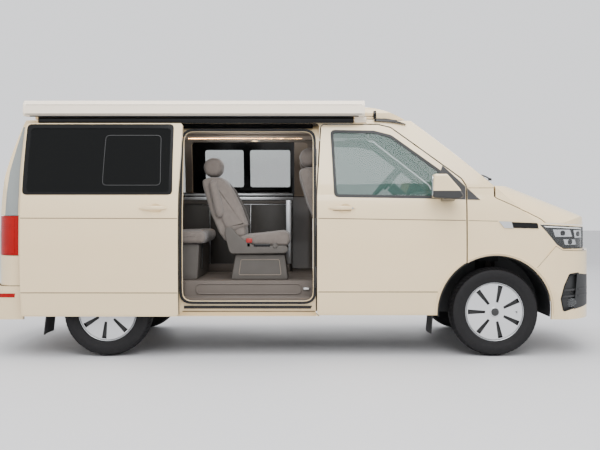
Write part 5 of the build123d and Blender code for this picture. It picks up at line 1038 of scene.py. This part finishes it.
def tent_walls():
    """A ring of cloth in closed pleats: at distance d in front of the roof's hinge they reach in and out
    by d times the sine of the roof's angle over four times the folds, so that they open to a wedge."""
    corners = [(-1.962, -0.630), (0.578, -0.630), (0.578, 0.630), (-1.962, 0.630)]
    ring = evened(eased(corners, 0.060, 8), 300)
    ahead = np.roll(ring, -1, 0) - np.roll(ring, 1, 0)
    ahead /= np.linalg.norm(ahead, axis=1)[:, None]
    out = np.stack([ahead[:, 1], -ahead[:, 0]], 1)
    reach = (ring[:, 0] - ROOF_HINGE_X) * math.sin(math.radians(ROOF_ANGLE)) / (4 * FOLDS)
    rows = 2 * FOLDS + 1
    swing = np.where(np.arange(rows) % 2, 1.0, -1.0)[:, None, None]
    flat = ring[None] + swing * out[None] * reach[None, :, None]
    z = TENT_LOW + (TENT_HIGH - TENT_LOW) * np.linspace(0, 1, rows)[:, None] + 0 * reach[None]
    cloth = np.concatenate([flat, z[..., None]], -1)
    return slab("tent_canvas", cloth, cloth - (0, 0, 0.0004), CANVAS, None, ring=True, sharp=60)


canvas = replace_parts(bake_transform(tent_walls()),
                     "tent_bellows")

# ------------------------------------------------------------------ camera, light and floor
eye = bpy.data.cameras.new("camera")
eye.lens, eye.sensor_width = 54.4, 36.0
eye.shift_y = -0.0267
camera = bpy.data.objects.new("camera", eye)
camera.location = (0.035, -7.922, 1.140)
camera.rotation_euler = (math.pi / 2, 0, 0)
bpy.context.scene.collection.objects.link(camera)
bpy.context.scene.camera = camera

floor = bpy.data.meshes.new("floor")
floor.from_pydata([(-40, -40, 0), (40, -40, 0), (40, 40, 0), (-40, 40, 0)], [], [(0, 1, 2, 3)])
floor.materials.append(finish("studio_floor", "C9C9CB", "C4C4C6", 0.6, cloud=1.5))
floor = bpy.data.objects.new("floor", floor)
bpy.context.scene.collection.objects.link(floor)

world = bpy.data.worlds.new("studio")
world.use_nodes = True
world.node_tree.nodes["Background"].inputs["Color"].default_value = linear("F1F2F5")
world.node_tree.nodes["Background"].inputs["Strength"].default_value = 1.5
bpy.context.scene.world = world
for name, place, turn, size, power in (
    ("front_softbox", (0.6, -8.0, 6.4), (54, 0, 4), 5.0, 600),
    ("roof_softbox", (0.0, -1.5, 7.0), (12, 0, 0), 6.0, 460),
    ("nose_softbox", (8.5, -2.5, 4.0), (66, 0, 74), 4.0, 120),
    ("tail_softbox", (-8.5, 1.5, 4.5), (62, 0, -100), 4.0, 140),
    ("far_softbox", (0.5, 9.0, 4.5), (-62, 0, 0), 6.0, 260),
    ("cabin_glow", (-0.45, 0.05, 1.56), (180, 0, 0), 0.45, 14),
    ("cabin_fill", (-0.45, -0.05, 1.78), (-10, 0, 0), 0.45, 3),
):
    lamp = bpy.data.lights.new(name, "AREA")
    lamp.shape, lamp.size, lamp.energy = "SQUARE", size, power
    lit = bpy.data.objects.new(name, lamp)
    lit.location = place
    lit.visible_camera = False
    lit.rotation_euler = [math.radians(t) for t in turn]
    bpy.context.scene.collection.objects.link(lit)
